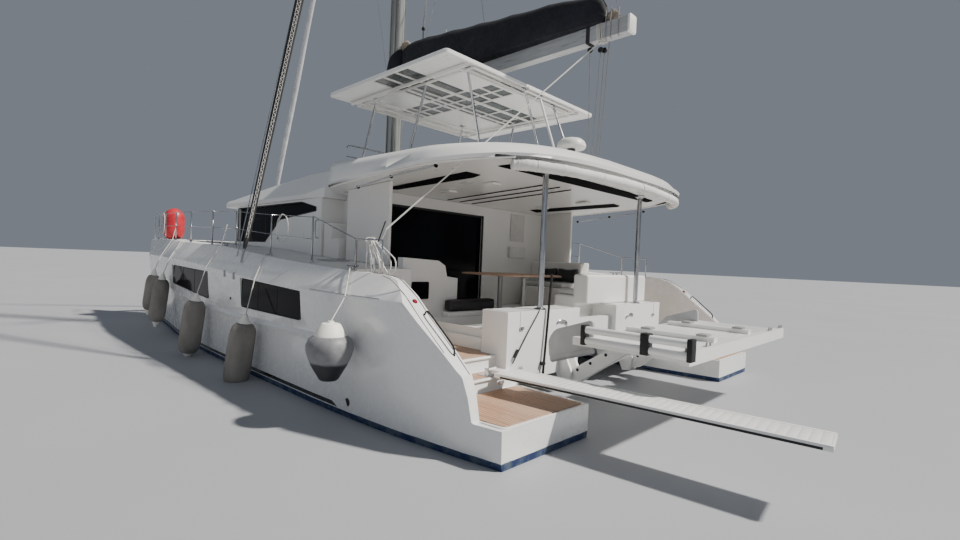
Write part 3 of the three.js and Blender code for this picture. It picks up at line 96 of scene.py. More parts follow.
class Shape:
    """A mesh in the making, in the boat's frame."""

    def __init__(self):
        self.bm = bmesh.new()
        self.uv = self.bm.loops.layers.uv.new("UVMap")

    def block(self, low, high, bevel=0.0, segments=2):
        low, high = Vector(low), Vector(high)
        verts = bmesh.ops.create_cube(self.bm, size=1)["verts"]
        bmesh.ops.scale(self.bm, vec=high - low, verts=verts)
        bmesh.ops.translate(self.bm, vec=(low + high) / 2, verts=verts)
        if bevel:
            edges = {edge for vert in verts for edge in vert.link_edges}
            self.round(edges, bevel, segments)
        return self

    def round(self, edges, width, segments=2):
        bmesh.ops.bevel(
            self.bm, geom=list(edges), offset=width, offset_type="OFFSET", segments=segments,
            profile=0.5, affect="EDGES", material=-1, clamp_overlap=True)
        return self

    def plate(self, outline, push, bevel=0.0, segments=2):
        """A flat outline pushed along a vector."""
        face = self.bm.faces.new([self.bm.verts.new(point) for point in outline])
        geom = bmesh.ops.extrude_face_region(self.bm, geom=[face])["geom"]
        verts = [item for item in geom if isinstance(item, bmesh.types.BMVert)]
        bmesh.ops.translate(self.bm, vec=Vector(push), verts=verts)
        if bevel:
            edges = {edge for vert in [*verts, *face.verts] for edge in vert.link_edges}
            self.round(edges, bevel, segments)
        return self

    def loft(self, rings, closed=True, caps=True):
        """Extrudes the first ring of points through the others; u runs round and v runs along."""
        count = len(rings[0])
        verts = [self.bm.verts.new(point) for point in rings[0]]
        pairs = list(zip(verts, verts[1:] + verts[:1])) if closed else list(zip(verts, verts[1:]))
        first = edges = [self.bm.edges.new(pair) for pair in pairs]
        place = {vert: (index / count, 0.0) for index, vert in enumerate(verts)}
        travelled = 0.0
        for before, ring in zip(rings, rings[1:]):
            made = bmesh.ops.extrude_edge_only(self.bm, edges=edges)["geom"]
            fresh = {item for item in made if isinstance(item, bmesh.types.BMVert)}
            follow = {
                edge.other_vert(vert): vert
                for vert in fresh for edge in vert.link_edges if edge.other_vert(vert) not in fresh}
            verts = [follow[vert] for vert in verts]
            travelled += (Vector(ring[0]) - Vector(before[0])).length
            for index, (vert, point) in enumerate(zip(verts, ring)):
                vert.co = point
                place[vert] = (index / count, travelled)
            edges = [
                item for item in made if isinstance(item, bmesh.types.BMEdge)
                and item.verts[0] in fresh and item.verts[1] in fresh]
            for face in {face for edge in edges for face in edge.link_faces}:
                around = [place[loop.vert][0] for loop in face.loops]
                wraps = max(around) - min(around) > 0.5
                for loop in face.loops:
                    u, v = place[loop.vert]
                    loop[self.uv].uv = (u + 1 if wraps and u < 0.5 else u, v)
        if caps:
            for rim in (first, edges):
                bmesh.ops.contextual_create(self.bm, geom=rim)
        return self

    def tube(self, points, radius, sides=8, caps=True, closed=False):
        """A round tube through points; the radius is a number, or one for each point."""
        points = [Vector(point) for point in points]
        if closed:
            points = [points[-1], *points, points[0], points[1]]
        radii = radius if isinstance(radius, (list, tuple)) else [radius] * len(points)
        rings = []
        turn = None
        for index, (point, size) in enumerate(zip(points, radii)):
            ahead = points[min(index + 1, len(points) - 1)] - point
            behind = point - points[max(index - 1, 0)]
            along = (ahead.normalized() + behind.normalized()).normalized()
            if turn is None:
                turn = along.to_track_quat("Z", "X")
            else:
                turn = (turn @ UP).rotation_difference(along) @ turn
            bend = max(0.5, along.dot(ahead.normalized())) if 0 < index < len(points) - 1 else 1
            reach = size / bend ** 0.5
            rings.append([round_line(point, turn, reach, angle) for angle in even_angles(sides)])
        if closed:
            rings = [*rings[1:-2], rings[1]]
        self.loft(rings, caps=caps and not closed)
        if closed:
            bmesh.ops.remove_doubles(self.bm, verts=self.bm.verts, dist=1e-6)
        return self

    def turned(self, profile, start, axis=UP, sides=24):
        """A profile of (radius, height) pairs spun round an axis through start."""
        turn = Vector(axis).to_track_quat("Z", "X")
        start = Vector(start)
        verts = [self.bm.verts.new(start + turn @ Vector((r, 0, h))) for r, h in profile]
        edges = [self.bm.edges.new(pair) for pair in zip(verts, verts[1:])]
        bmesh.ops.spin(
            self.bm, geom=verts + edges, cent=start, axis=turn @ UP,
            angle=2 * math.pi, steps=sides, use_merge=True, use_duplicate=False)
        bmesh.ops.remove_doubles(self.bm, verts=self.bm.verts, dist=1e-6)
        return self

    def mirrored(self):
        """Adds the same shape on the other side of the centreline."""
        geom = [*self.bm.verts, *self.bm.edges, *self.bm.faces]
        twin = bmesh.ops.duplicate(self.bm, geom=geom)["geom"]
        verts = [item for item in twin if isinstance(item, bmesh.types.BMVert)]
        faces = [item for item in twin if isinstance(item, bmesh.types.BMFace)]
        bmesh.ops.scale(self.bm, vec=(1, -1, 1), verts=verts)
        bmesh.ops.reverse_faces(self.bm, faces=faces)
        return self

    def finish(self, name, look, body="vessel", replaces=(), slot=None, smooth=SMOOTH_ANGLE):
        bmesh.ops.recalc_face_normals(self.bm, faces=self.bm.faces)
        return settle(self.bm, name, look, body, replaces, smooth)


def settle(bm, name, look, body, replaces, smooth):
    """Turns a bmesh into a finished piece on a body; a run between two, (body, body, start, end), is
    left in the boat's frame, on neither.

    The smoothing angle is in degrees."""
    mesh = bpy.data.meshes.new(name)
    bm.to_mesh(mesh)
    bm.free()
    mesh.shade_smooth()
    mesh.set_sharp_from_angle(angle=math.radians(smooth))
    piece = bpy.data.objects.new(name, mesh)
    bpy.context.scene.collection.objects.link(piece)
    mesh.materials.append(finish_of(look))
    if isinstance(body, str):
        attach(piece, body)
    else:
        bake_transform(piece)
    if replaces:
        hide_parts(*replaces)
    return piece


def body_of_node(node):
    bodies = frame["record"]["behaviour"]["bodies"]
    return next(body for body, nodes in bodies.items() if node in nodes)


def dressed(node, look, width, smooth=SMOOTH_ANGLE):
    """A smooth copy of a CAD node with its hard edges rounded, in the node's place."""
    bm = bmesh.new()
    bm.from_mesh(frame["nodes"][node].data)
    bmesh.ops.remove_doubles(bm, verts=bm.verts, dist=1e-4)
    bmesh.ops.dissolve_limit(
        bm, angle_limit=math.radians(0.6), verts=bm.verts, edges=bm.edges, delimit={"NORMAL"})
    piece = settle(bm, "dressed_" + node, look, body_of_node(node), (node,), smooth)
    if width:
        edge = piece.modifiers.new("Rounded edges", "BEVEL")
        edge.width = width
        edge.segments = 2
        edge.limit_method = "ANGLE"
        edge.angle_limit = math.radians(34)
        edge.harden_normals = True


def curve_points(points, steps):
    """Points of a smooth curve through the given ones."""
    points = [Vector(point) for point in points]
    padded = [2 * points[0] - points[1], *points, 2 * points[-1] - points[-2]]
    path = []
    for a, b, c, d in zip(padded, padded[1:], padded[2:], padded[3:]):
        for k in range(steps):
            t = k / steps
            path.append(0.5 * (
                2 * b + (c - a) * t + (2 * a - 5 * b + 4 * c - d) * t ** 2
                + (3 * b - a - 3 * c + d) * t ** 3))
    return [*path, points[-1]]


def blended(rows, place):
    """The other columns of a table, at a place along its first one."""
    for (start, *first), (end, *second) in zip(rows, rows[1:]):
        if min(start, end) <= place <= max(start, end):
            share = (place - start) / (end - start)
            return [a + share * (b - a) for a, b in zip(first, second)]
    return rows[-1][1:]


def standing(x, y0, y1, z0, z1):
    """Corners of a rectangle that faces fore and aft."""
    return [(x, y0, z0), (x, y1, z0), (x, y1, z1), (x, y0, z1)]


def lying(x0, x1, y0, y1, z):
    """Corners of a rectangle that lies flat."""
    return [(x0, y0, z), (x1, y0, z), (x1, y1, z), (x0, y1, z)]


def maths(operation, swapped=False):
    """A method that puts a value, and a second one where it takes one, through a Math node."""
    def method(self, *others):
        values = [*others, self] if swapped else [self, *others]
        return self.nodes.value("Math", {"operation": operation}, values)
    return method


class Value:
    """A shader socket that is added, multiplied and compared like a number."""

    def __init__(self, nodes, socket):
        self.nodes, self.socket = nodes, socket

    __add__ = __radd__ = maths("ADD")
    __sub__, __rsub__ = maths("SUBTRACT"), maths("SUBTRACT", swapped=True)
    __mul__ = __rmul__ = maths("MULTIPLY")
    __truediv__ = maths("DIVIDE")
    __gt__, __lt__ = maths("GREATER_THAN"), maths("LESS_THAN")
    fraction, size, sine = maths("FRACT"), maths("ABSOLUTE"), maths("SINE")
    higher = maths("MAXIMUM")

    def between(self, low, high):
        return (self > low) * (self < high)

    def ramp(self, low, high, start=0.0, end=1.0):
        """Rises from start to end while the value goes from low to high."""
        return self.nodes.value(
            "MapRange", {"clamp": True},
            {"Value": self, "From Min": low, "From Max": high, "To Min": start, "To Max": end})

    def spread(self, start=0.0, end=1.0):
        """Rises from start to end over the range that most of a noise lies in."""
        return self.ramp(0.3, 0.7, start, end)


class Finish:
    """Builds one material from its nodes."""

    def __init__(self, name):
        self.material = bpy.data.materials.new(name)
        self.material.use_nodes = True
        self.tree = self.material.node_tree
        self.tree.nodes.clear()
        self.coordinates = self.node("TexCoord").outputs

    def node(self, kind, settings=None, inputs=None):
        made = self.tree.nodes.new("ShaderNode" + kind)
        for key, setting in (settings or {}).items():
            setattr(made, key, setting)
        pairs = inputs.items() if isinstance(inputs, dict) else enumerate(inputs or [])
        for key, content in pairs:
            content = content.socket if isinstance(content, Value) else content
            if isinstance(content, bpy.types.NodeSocket):
                self.tree.links.new(content, made.inputs[key])
            else:
                made.inputs[key].default_value = content
        return made

    def value(self, kind, settings=None, inputs=None, output=0):
        return Value(self, self.node(kind, settings, inputs).outputs[output])

    def place(self, kind="Object"):
        parts = self.node("SeparateXYZ", None, [self.coordinates[kind]]).outputs
        return [Value(self, socket) for socket in parts]

    def upward(self):
        normal = self.node("NewGeometry").outputs["Normal"]
        return Value(self, self.node("SeparateXYZ", None, [normal]).outputs[2])

    def noise(self, scale, detail=3, roughness=0.5, stretch=(1, 1, 1)):
        spot = self.node("Mapping", None, {"Vector": self.coordinates["Object"], "Scale": stretch})
        return self.value("TexNoise", None, {
            "Vector": spot.outputs[0], "Scale": scale, "Detail": detail, "Roughness": roughness})

    def grip(self, scale):
        """The raised pads of a non-slip deck: 0 in the grooves between them, 1 on top."""
        cells = self.value(
            "TexVoronoi", {"feature": "DISTANCE_TO_EDGE"},
            {"Vector": self.coordinates["Object"], "Scale": scale})
        return cells.ramp(0.0, 0.25)

    def mix(self, share, first, second):
        """A colour between two, by a share from 0 to 1."""
        return self.value(
            "Mix", {"data_type": "RGBA"}, {0: share, 6: colour(first), 7: colour(second)}, output=2)

    def bump(self, height, strength, distance):
        return self.value("Bump", None, {
            "Strength": strength, "Distance": distance, "Height": height})

    def close(self, base, roughness, bump=None, **sockets):
        inputs = {"Base Color": colour(base), "Roughness": roughness}
        inputs.update({key.replace("_", " "): content for key, content in sockets.items()})
        if bump is not None:
            inputs["Normal"] = bump
        shader = self.node("BsdfPrincipled", None, inputs)
        self.node("OutputMaterial", None, {"Surface": shader.outputs[0]})
        return self.material


def colour(value):
    """A socket as it is, or three numbers with their alpha."""
    return value if isinstance(value, Value) else (*value, 1.0)


# Pitches of the net's mesh and of the cells in the bimini's panes
NET_MESH = 0.03
SOLAR_CELL = 0.155


def gelcoat(f):
    tone = f.noise(0.35, 2).ramp(0.3, 0.75)
    return f.close(
        f.mix(tone, (0.82, 0.82, 0.8), settings().gelcoat_tone),
        f.noise(1.5).spread(0.27, 0.33), f.bump(f.noise(9, 2), 0.01, 0.001),
        Coat_Weight=0.3, Coat_Roughness=0.15)


def hull_gelcoat(f):
    """White topsides over blue antifouling, a dark rub stripe, and non-slip on the side decks."""
    x, y, z = f.place()
    up = f.upward()
    tone = f.noise(0.3, 3, 0.5, (1, 1, 0.35)).ramp(0.3, 0.75)
    white = f.mix(tone, (0.8, 0.81, 0.8), [0.98 * part for part in settings().gelcoat_tone])
    splash = f.noise(6, 5, 0.7)
    under = (WATER_EDGE + 0.02 * splash) - z > 0
    scum = f.mix(splash.ramp(0.45, 0.6), settings().antifouling_tone, (0.08, 0.11, 0.15))
    stripe = z.between(0.088, 0.142) * (y.size() > 3.1) * (x - 2.4 * z > -5.05)
    deck = (up > 0.9) * (z > 1.72)
    trodden = f.mix(f.noise(3, 4).ramp(0.35, 0.7), (0.66, 0.66, 0.64), (0.74, 0.74, 0.72))
    base = f.mix(deck, white, trodden)
    base = f.mix(stripe, base, settings().stripe_tone)
    base = f.mix(under, base, scum)
    rough = f.noise(7).spread(0.2, 0.32).higher(deck * 0.6).higher(under * 0.75)
    height = f.noise(25, 2) * 0.03 + deck * f.grip(38)
    coat = (1 - deck) * (1 - under) * 0.45
    return f.close(base, rough, f.bump(height, 0.12, 0.003), Coat_Weight=coat)


def moulding(f):
    """Warm white inner moulding with a fine grip pattern where it is trodden on."""
    up = f.upward() > 0.9
    tone = f.noise(0.8, 2).spread()
    return f.close(
        f.mix(tone, (0.76, 0.75, 0.72), (0.82, 0.81, 0.78)),
        f.noise(9).spread(0.28, 0.42).higher(up * 0.5), f.bump(up * f.grip(45), 0.1, 0.002))


def cloth(f, dark, light):
    """Woven cloth: crossing threads, and a slow change of tone at random, as from fading."""
    x, y, z = f.place()
    weave = ((x + z) * 420).sine() * ((y - z) * 420).sine()
    tone = f.noise(2.2, 6, 0.6).ramp(0.3, 0.72)
    height = weave * 0.2 + f.noise(7, 4)
    return f.close(
        f.mix(tone, dark, light), f.noise(12).spread(0.78, 0.95), f.bump(height, 0.25, 0.006))


def planking(f):
    """Teak planks that run fore and aft with dark caulking between them."""
    x, y, z = f.place()
    plank = y / settings().plank_width
    caulk = (plank.fraction() < 0.11) * (f.upward() > 0.5)
    tone = f.noise(1.0, 2, 0.5, (0.15, 21, 1)).spread()
    grain = f.noise(3.0, 6, 0.65, (2.5, 60, 20))
    weathered = f.noise(1.1, 4).ramp(0.35, 0.7)
    wood = f.mix(tone, (0.4, 0.225, 0.135), settings().teak_tone)
    wood = f.mix(grain.ramp(0.45, 0.7) * 0.5, wood, (0.24, 0.13, 0.08))
    wood = f.mix(weathered * 0.35, wood, (0.6, 0.47, 0.38))
    base = f.mix(caulk, wood, (0.03, 0.027, 0.025))
    height = grain * 0.4 + (1 - caulk)
    return f.close(base, grain.spread(0.5, 0.75), f.bump(height, 0.35, 0.003))


def smoked_glass(f):
    tone = f.noise(0.8, 3).ramp(0.35, 0.7)
    return f.close(
        f.mix(tone, (0.003, 0.003, 0.004), (0.008, 0.01, 0.012)),
        f.noise(3).spread(0.05, 0.1), f.bump(f.noise(2), 0.02, 0.002),
        IOR=1.2, Specular_IOR_Level=0.22)


def polished_steel(f, painted_above=None):
    """Polished steel, which may be painted white above a level."""
    scratch = f.noise(30, 5, 0.6, (1, 1, 0.15))
    base = f.mix(scratch.ramp(0.3, 0.8), (0.4, 0.41, 0.43), (0.58, 0.59, 0.6))
    bare = 1.0
    if painted_above is not None:
        white = f.place()[2] > painted_above
        base = f.mix(white, base, (0.8, 0.79, 0.76))
        bare = 1 - white
    return f.close(
        base, scratch.ramp(0.3, 0.8, 0.14, 0.3), f.bump(scratch, 0.04, 0.0005), Metallic=bare)


def anodised(f):
    scratch = f.noise(5, 5, 0.6, (6, 6, 0.3))
    return f.close(
        f.mix(scratch.ramp(0.3, 0.75), (0.36, 0.37, 0.37), (0.52, 0.53, 0.53)),
        scratch.ramp(0.3, 0.75, 0.3, 0.45), f.bump(scratch, 0.05, 0.001), Metallic=0.5)


def mast_paint(f):
    """Grey spar with long dark streaks, painted shadows of the halyards that run down it."""
    halyard_shadow_streak = f.noise(2.2, 6, 0.7, (9, 9, 0.12))
    return f.close(
        f.mix(halyard_shadow_streak.ramp(0.35, 0.68), (0.17, 0.18, 0.17), (0.46, 0.47, 0.45)),
        halyard_shadow_streak.ramp(0.3, 0.75, 0.35, 0.55), f.bump(halyard_shadow_streak, 0.08, 0.001), Metallic=0.3)


# The boom's grey is set to the tone of its side in shade: partly its own grey paint, partly painted
# shade.
def boom_paint(f):
    scratch = f.noise(6, 5, 0.6, (0.4, 4, 4))
    return f.close(
        f.mix(scratch.ramp(0.3, 0.75), (0.36, 0.37, 0.38), (0.48, 0.49, 0.5)),
        scratch.ramp(0.3, 0.75, 0.25, 0.4), f.bump(scratch, 0.04, 0.001), Metallic=0.25)


def plastic(f, dark, light, roughness=0.45, specular=0.5):
    tone = f.noise(5, 4)
    return f.close(
        f.mix(tone.spread(), dark, light), tone.spread(roughness, roughness + 0.15),
        f.bump(f.noise(160, 2), 0.08, 0.0006), Specular_IOR_Level=specular)


def rope(f, ground, fleck, share=0.62):
    """Braided rope: slanting strands in the piece's own UV map, some of them coloured."""
    around, along, _ = f.place("UV")
    twist = along * 38
    left, right = (around * 3 + twist).fraction(), (around * 3 - twist).fraction()
    coloured = (left > share) * (right > 0.3)
    turn = 2 * math.pi
    height = (left * turn).sine() + (right * turn).sine()
    return f.close(f.mix(coloured, ground, fleck), f.noise(20).spread(0.75, 0.9),
                   f.bump(height, 0.3, 0.002))


def fender_sleeve(f):
    """Knitted sleeve, greyed and rubbed."""
    x, y, z = f.place()
    rub = f.noise(2.5, 6, 0.65, (1, 1, 0.5)).ramp(0.35, 0.7)
    knit = ((x + y) * 700).sine() * (z * 500).sine()
    return f.close(
        f.mix(rub, (0.19, 0.178, 0.16), (0.34, 0.315, 0.285)),
        f.noise(30).spread(0.85, 0.98), f.bump(knit * 0.3 + f.noise(90, 3), 0.35, 0.004))


def ball_skin(f):
    """Scuffed grey vinyl ball fender, near black towards its bottom."""
    _, _, z = f.place()
    rub = f.noise(4, 6, 0.65).ramp(0.35, 0.7)
    grey = f.mix(rub, (0.17, 0.17, 0.18), (0.3, 0.3, 0.31))
    low = (0.7 + 0.1 * f.noise(2.5) - z).ramp(-0.015, 0.015)
    return f.close(f.mix(low, grey, (0.02, 0.02, 0.025)), rub.ramp(0, 1, 0.45, 0.65),
                   f.bump(f.noise(60), 0.15, 0.002))


def trampoline(f):
    """Open square net."""
    x, y, _ = f.place()
    cord = ((x / NET_MESH).fraction() < 0.22).higher((y / NET_MESH).fraction() < 0.22)
    return f.close(
        f.mix(f.noise(3).spread(), (0.55, 0.55, 0.54), (0.7, 0.7, 0.68)),
        f.noise(30).spread(0.8, 0.95), f.bump(cord, 0.4, 0.003), Alpha=cord)


def dark_solar(f):
    """Translucent dark panes of the bimini, with fine cells."""
    x, y, _ = f.place()
    line = ((x / SOLAR_CELL).fraction() < 0.06).higher((y / SOLAR_CELL).fraction() < 0.06)
    tone = f.noise(1.2, 3).spread()
    pane = f.mix(tone, (0.012, 0.02, 0.022), (0.035, 0.05, 0.053))
    return f.close(f.mix(line, pane, (0.1, 0.12, 0.12)), f.noise(8).spread(0.2, 0.3),
                   f.bump(line, 0.1, 0.001), Coat_Weight=0.1)


def bronze(f):
    tarnish = f.noise(12, 5).ramp(0.35, 0.7)
    return f.close(
        f.mix(tarnish, (0.5, 0.34, 0.14), (0.25, 0.2, 0.1)), tarnish.ramp(0, 1, 0.3, 0.55),
        f.bump(f.noise(40), 0.1, 0.001), Metallic=0.9)


def pale_floor(f):
    tone = f.noise(0.2, 3).spread()
    return f.close(f.mix(tone, (0.36, 0.37, 0.39), (0.39, 0.4, 0.42)), 0.6)


# Each finish: the material slot that goes with it, its maker and the maker's tones and measures,
# where a name stands for the setting of that name
FINISHES = {
    "gelcoat": ("gelcoat_white", gelcoat),
    "hull_gelcoat": ("gelcoat_white", hull_gelcoat),
    "moulding": ("cushion_fabric", moulding),
    "planking": ("teak", planking),
    "smoked_glass": ("smoked_glass", smoked_glass),
    "dark_solar": ("smoked_glass", dark_solar),
    "polished_steel": ("stainless_steel", polished_steel),
    "bimini_steel": ("stainless_steel", polished_steel, 5.15),
    "anodised": ("spar_aluminium", anodised),
    "mast_paint": ("spar_aluminium", mast_paint),
    "boom_paint": ("spar_aluminium", boom_paint),
    "bronze": ("stainless_steel", bronze),
    "fender_sleeve": ("fender_sleeve", fender_sleeve),
    "ball_skin": ("fender_sleeve", ball_skin),
    "trampoline": ("net_cord", trampoline),
    "navy_canvas": ("navy_canvas", cloth, (0.004, 0.005, 0.009), "canvas_tone"),
    "black_canvas": ("black_canvas", cloth, (0.008, 0.008, 0.01), (0.03, 0.03, 0.034)),
    "white_canvas": ("white_canvas", cloth, (0.62, 0.61, 0.58), (0.8, 0.79, 0.76)),
    "sailcloth": ("white_canvas", cloth, (0.42, 0.43, 0.45), (0.66, 0.67, 0.68)),
    "old_sailcloth": ("white_canvas", cloth, (0.16, 0.13, 0.1), (0.38, 0.34, 0.28)),
    "grey_cushion": ("cushion_fabric", cloth, (0.42, 0.42, 0.41), "cushion_tone"),
    "black_leather": ("cushion_fabric", plastic, (0.012, 0.012, 0.014), (0.028, 0.028, 0.03), 0.4),
    "black_plastic": ("black_canvas", plastic, (0.003, 0.003, 0.0035), (0.01, 0.01, 0.011), 0.55),
    # Near black and barely reflecting; among its pieces are black sheets that are painted shade in slots
    # and openings
    "matt_black": (
        "black_canvas", plastic, (0.002, 0.002, 0.0022), (0.006, 0.006, 0.0065), 0.8, 0.05),
    # The lift's side panels are white; this grey on them is painted shade
    "lift_paint": ("gelcoat_white", plastic, (0.36, 0.37, 0.38), (0.44, 0.45, 0.46), 0.4),
    "grey_plastic": ("lift_metal", plastic, (0.25, 0.25, 0.26), (0.34, 0.34, 0.35)),
    "white_vinyl": ("white_canvas", plastic, (0.7, 0.7, 0.66), (0.82, 0.82, 0.79), 0.35),
    # Paler than the white vinyl: painted sunlight on the fenders' eyes, which hang on the hull's shaded
    # side
    "clean_vinyl": ("white_canvas", plastic, (0.9, 0.88, 0.78), (0.96, 0.95, 0.88), 0.45),
    "red_vinyl": ("red_vinyl", plastic, (0.45, 0.015, 0.025), "buoy_tone", 0.35),
    "lamp_red": ("red_vinyl", plastic, (0.16, 0.005, 0.012), (0.26, 0.01, 0.02), 0.2),
    "blue_paint": ("gelcoat_white", plastic, (0.015, 0.05, 0.17), (0.03, 0.08, 0.24), 0.7),
    "white_rope": ("net_cord", rope, (0.68, 0.67, 0.63), (0.5, 0.49, 0.45)),
    "dark_rope": ("net_cord", rope, (0.1, 0.1, 0.1), (0.5, 0.49, 0.45)),
    "flecked_rope": ("net_cord", rope, (0.42, 0.4, 0.35), (0.06, 0.06, 0.07), 0.5),
    "speckled_rope": ("net_cord", rope, (0.84, 0.83, 0.8), (0.1, 0.1, 0.11), 0.8),
    "pale_floor": (None, pale_floor),
}
finishes = {}


def finish_of(look):
    """The material of a finish, made when it is first asked for."""
    if look not in finishes:
        _, maker, *measures = FINISHES[look]
        measures = [getattr(settings(), part) if isinstance(part, str) else part for part in measures]
        finishes[look] = maker(Finish(look), *measures)
    return finishes[look]


def both(name):
    return ["port_" + name, "starboard_" + name]


# CAD nodes that keep their shape: finish, radius of the rounded edges, smoothing angle, nodes
DRESSED = [
    ("hull_gelcoat", 0.016, 32, both("hull")),
    ("gelcoat", 0.008, 32, [*both("saloon_side"), "saloon_front"]),
    ("gelcoat", 0.012, 32, ["lift_arms"]),
    ("gelcoat", 0.012, 36, ["hardtop"]),
    ("gelcoat", 0.014, 32, ["lift_table"]),
    ("gelcoat", 0.02, 32, ["bridge_deck"]),
    ("gelcoat", 0.025, 32, ["helm_console"]),
    ("gelcoat", 0.03, 32, ["longeron", "coachroof", "flybridge_coaming"]),
    ("moulding", 0.015, 32, ["saloon_after_bulkhead"]),
    ("moulding", 0.03, 32, ["foredeck"]),
    ("smoked_glass", 0, 32, ["front_glass"]),
    ("smoked_glass", 0.002, 32, [*both("side_glass"), "fixed_door_glass"]),
    ("smoked_glass", 0.003, 32, ["sliding_door"]),
    ("anodised", 0.03, 40, ["forward_beam"]),
    ("mast_paint", 0.004, 40, ["mast"]),
    ("boom_paint", 0.018, 40, ["boom"]),
    ("bimini_steel", 0, 50, ["bimini_frame"]),
    ("polished_steel", 0, 40, both("hardtop_pole")),
    ("polished_steel", 0, 62, ["steering_wheel", *both("shroud")]),
    ("polished_steel", 0, 92, both("guard_rail")),
    ("polished_steel", 0.003, 40, ["gangway_socket"]),
    ("blue_paint", 0.01, 50, both("rudder")),
    ("grey_plastic", 0.008, 50, both("drive_leg")),
    ("bronze", 0.003, 40, both("propeller")),
]


class CATAMARAN_OT_shells(bpy.types.Operator):
    """Smooths the moulded shells, spars and rails and gives them their finishes"""

    bl_idname = "catamaran.shells"
    bl_label = "Shells, spars and rails"

    def execute(self, context):
        for look, radius, angle, nodes in DRESSED:
            for node in nodes:
                dressed(node, look, radius, angle)
        return {"FINISHED"}


# Lines of the port hull, in metres: x, y, z
KNEE = [
    (-7.375, 3.79, 1.5), (-5.9, 3.975, 1.508), (-4.7, 4.035, 1.51), (-2.6, 4.05, 1.545),
    (0, 4.045, 1.69), (2.05, 4.01, 1.775), (3.65, 3.905, 1.8), (4.7, 3.79, 1.808),
    (6.2, 3.55, 1.815), (7.375, 3.27, 1.815),
]
EDGE = [
    (-7.375, 3.64, 1.77), (-5.9, 3.725, 1.78), (-4.7, 3.75, 1.8), (-2.6, 3.76, 1.905),
    (0, 3.75, 2.085), (2.05, 3.74, 2.155), (3.65, 3.65, 2.205), (4.7, 3.56, 2.235),
    (6.2, 3.4, 2.25), (7.375, 3.26, 2.228),
]
DECK_INNER_Y = 2.2
DECK_CAMBER = 0.03


def on_line(table, x):
    """The point of a line of the hull at a distance forward."""
    return Vector((x, *blended(table, x)))


def deck_point(x, y, above=0.0):
    edge = on_line(EDGE, x)
    camber = DECK_CAMBER * (edge.y - abs(y)) / (edge.y - DECK_INNER_Y)
    return Vector((x, y, edge.z + camber + above))


def rounded(corners, radius, steps=4):
    """A flat outline with its corners rounded."""
    corners = [Vector(corner) for corner in corners]
    outline = []
    for before, corner, after in zip(corners[-1:] + corners[:-1], corners, corners[1:] + corners[:1]):
        start = corner + (before - corner).normalized() * radius
        end = corner + (after - corner).normalized() * radius
        outline += [
            start * (1 - t) ** 2 + corner * 2 * t * (1 - t) + end * t ** 2
            for t in (k / steps for k in range(steps + 1))]
    return outline


# Recessed hull windows: x, lower z and upper z at each end, and y of the pocket's floor at each end
HULL_WINDOWS = [
    (-3.84, -1.7, 1.06, 1.06, 1.48, 1.56, 3.997, 4.0015),
    (-0.1, 2.45, 1.06, 1.21, 1.59, 1.64, 3.9955, 3.932),
]


def window_outline(row, inset, lift):
    x0, x1, low0, low1, high0, high1, y0, y1 = row
    slope = (y1 - y0) / (x1 - x0)

    def corner(x, z):
        return (x, y0 + (x - x0) * slope + lift, z)

    return rounded([
        corner(x0 + inset, low0 + inset), corner(x1 - inset, low1 + inset),
        corner(x1 - inset, high1 - inset), corner(x0 + inset, high0 - inset)], 0.06)


class CATAMARAN_OT_hull_glass(bpy.types.Operator):
    """Makes the dark windows in the hulls' sides, each in a slim frame"""

    bl_idname = "catamaran.hull_glass"
    bl_label = "Hull windows"

    def execute(self, context):
        glass, frames = Shape(), Shape()
        for row in HULL_WINDOWS:
            glass.plate(window_outline(row, 0.022, 0.001), (0, 0.012, 0), 0.002, 1)
            frames.tube(window_outline(row, 0.012, 0.006), 0.008, 6, closed=True)
            x0, x1, *_, y0, y1 = row
            for t in (0.36, 0.68):
                x = x0 + t * (x1 - x0)
                y = y0 + t * (y1 - y0) + 0.014
                low, high = row[2] + t * (row[3] - row[2]), row[4] + t * (row[5] - row[4])
                frames.block(
                    (x - 0.004, y - 0.004, low + 0.03), (x + 0.004, y + 0.002, high - 0.03))
        glass.mirrored().finish("hull_window_glass", "smoked_glass")
        frames.mirrored().finish("hull_window_frames", "black_plastic", slot="smoked_glass")
        return {"FINISHED"}


# Outer edge of the stern fin as it falls to the bathing platform: x, y, z
FIN_CAP = [
    (-5.1, 3.7, 1.8), (-5.53, 3.7, 1.778), (-5.71, 3.7, 1.733), (-5.98, 3.7, 1.573),
    (-6.26, 3.7, 1.343), (-6.65, 3.7, 1.043), (-6.89, 3.7, 0.843),
]
# Small outlets in the hull's side
HULL_OUTLETS = [(-1.24, 4.018, 1.17), (-4.71, 4.005, 1.42)]
# Grab handle that stands on the fin's cap
FIN_HANDLE = [
    (-6.2, 3.77, 1.37), (-6.23, 3.76, 1.42), (-6.29, 3.76, 1.4), (-6.45, 3.755, 1.275),
    (-6.6, 3.75, 1.155), (-6.68, 3.75, 1.08), (-6.69, 3.75, 1.0),
]
# Chain plates of the shrouds in the hull's side; the grey blocks in their recesses are painted shade
CHAINPLATE_X = (-1.0, -1.43)


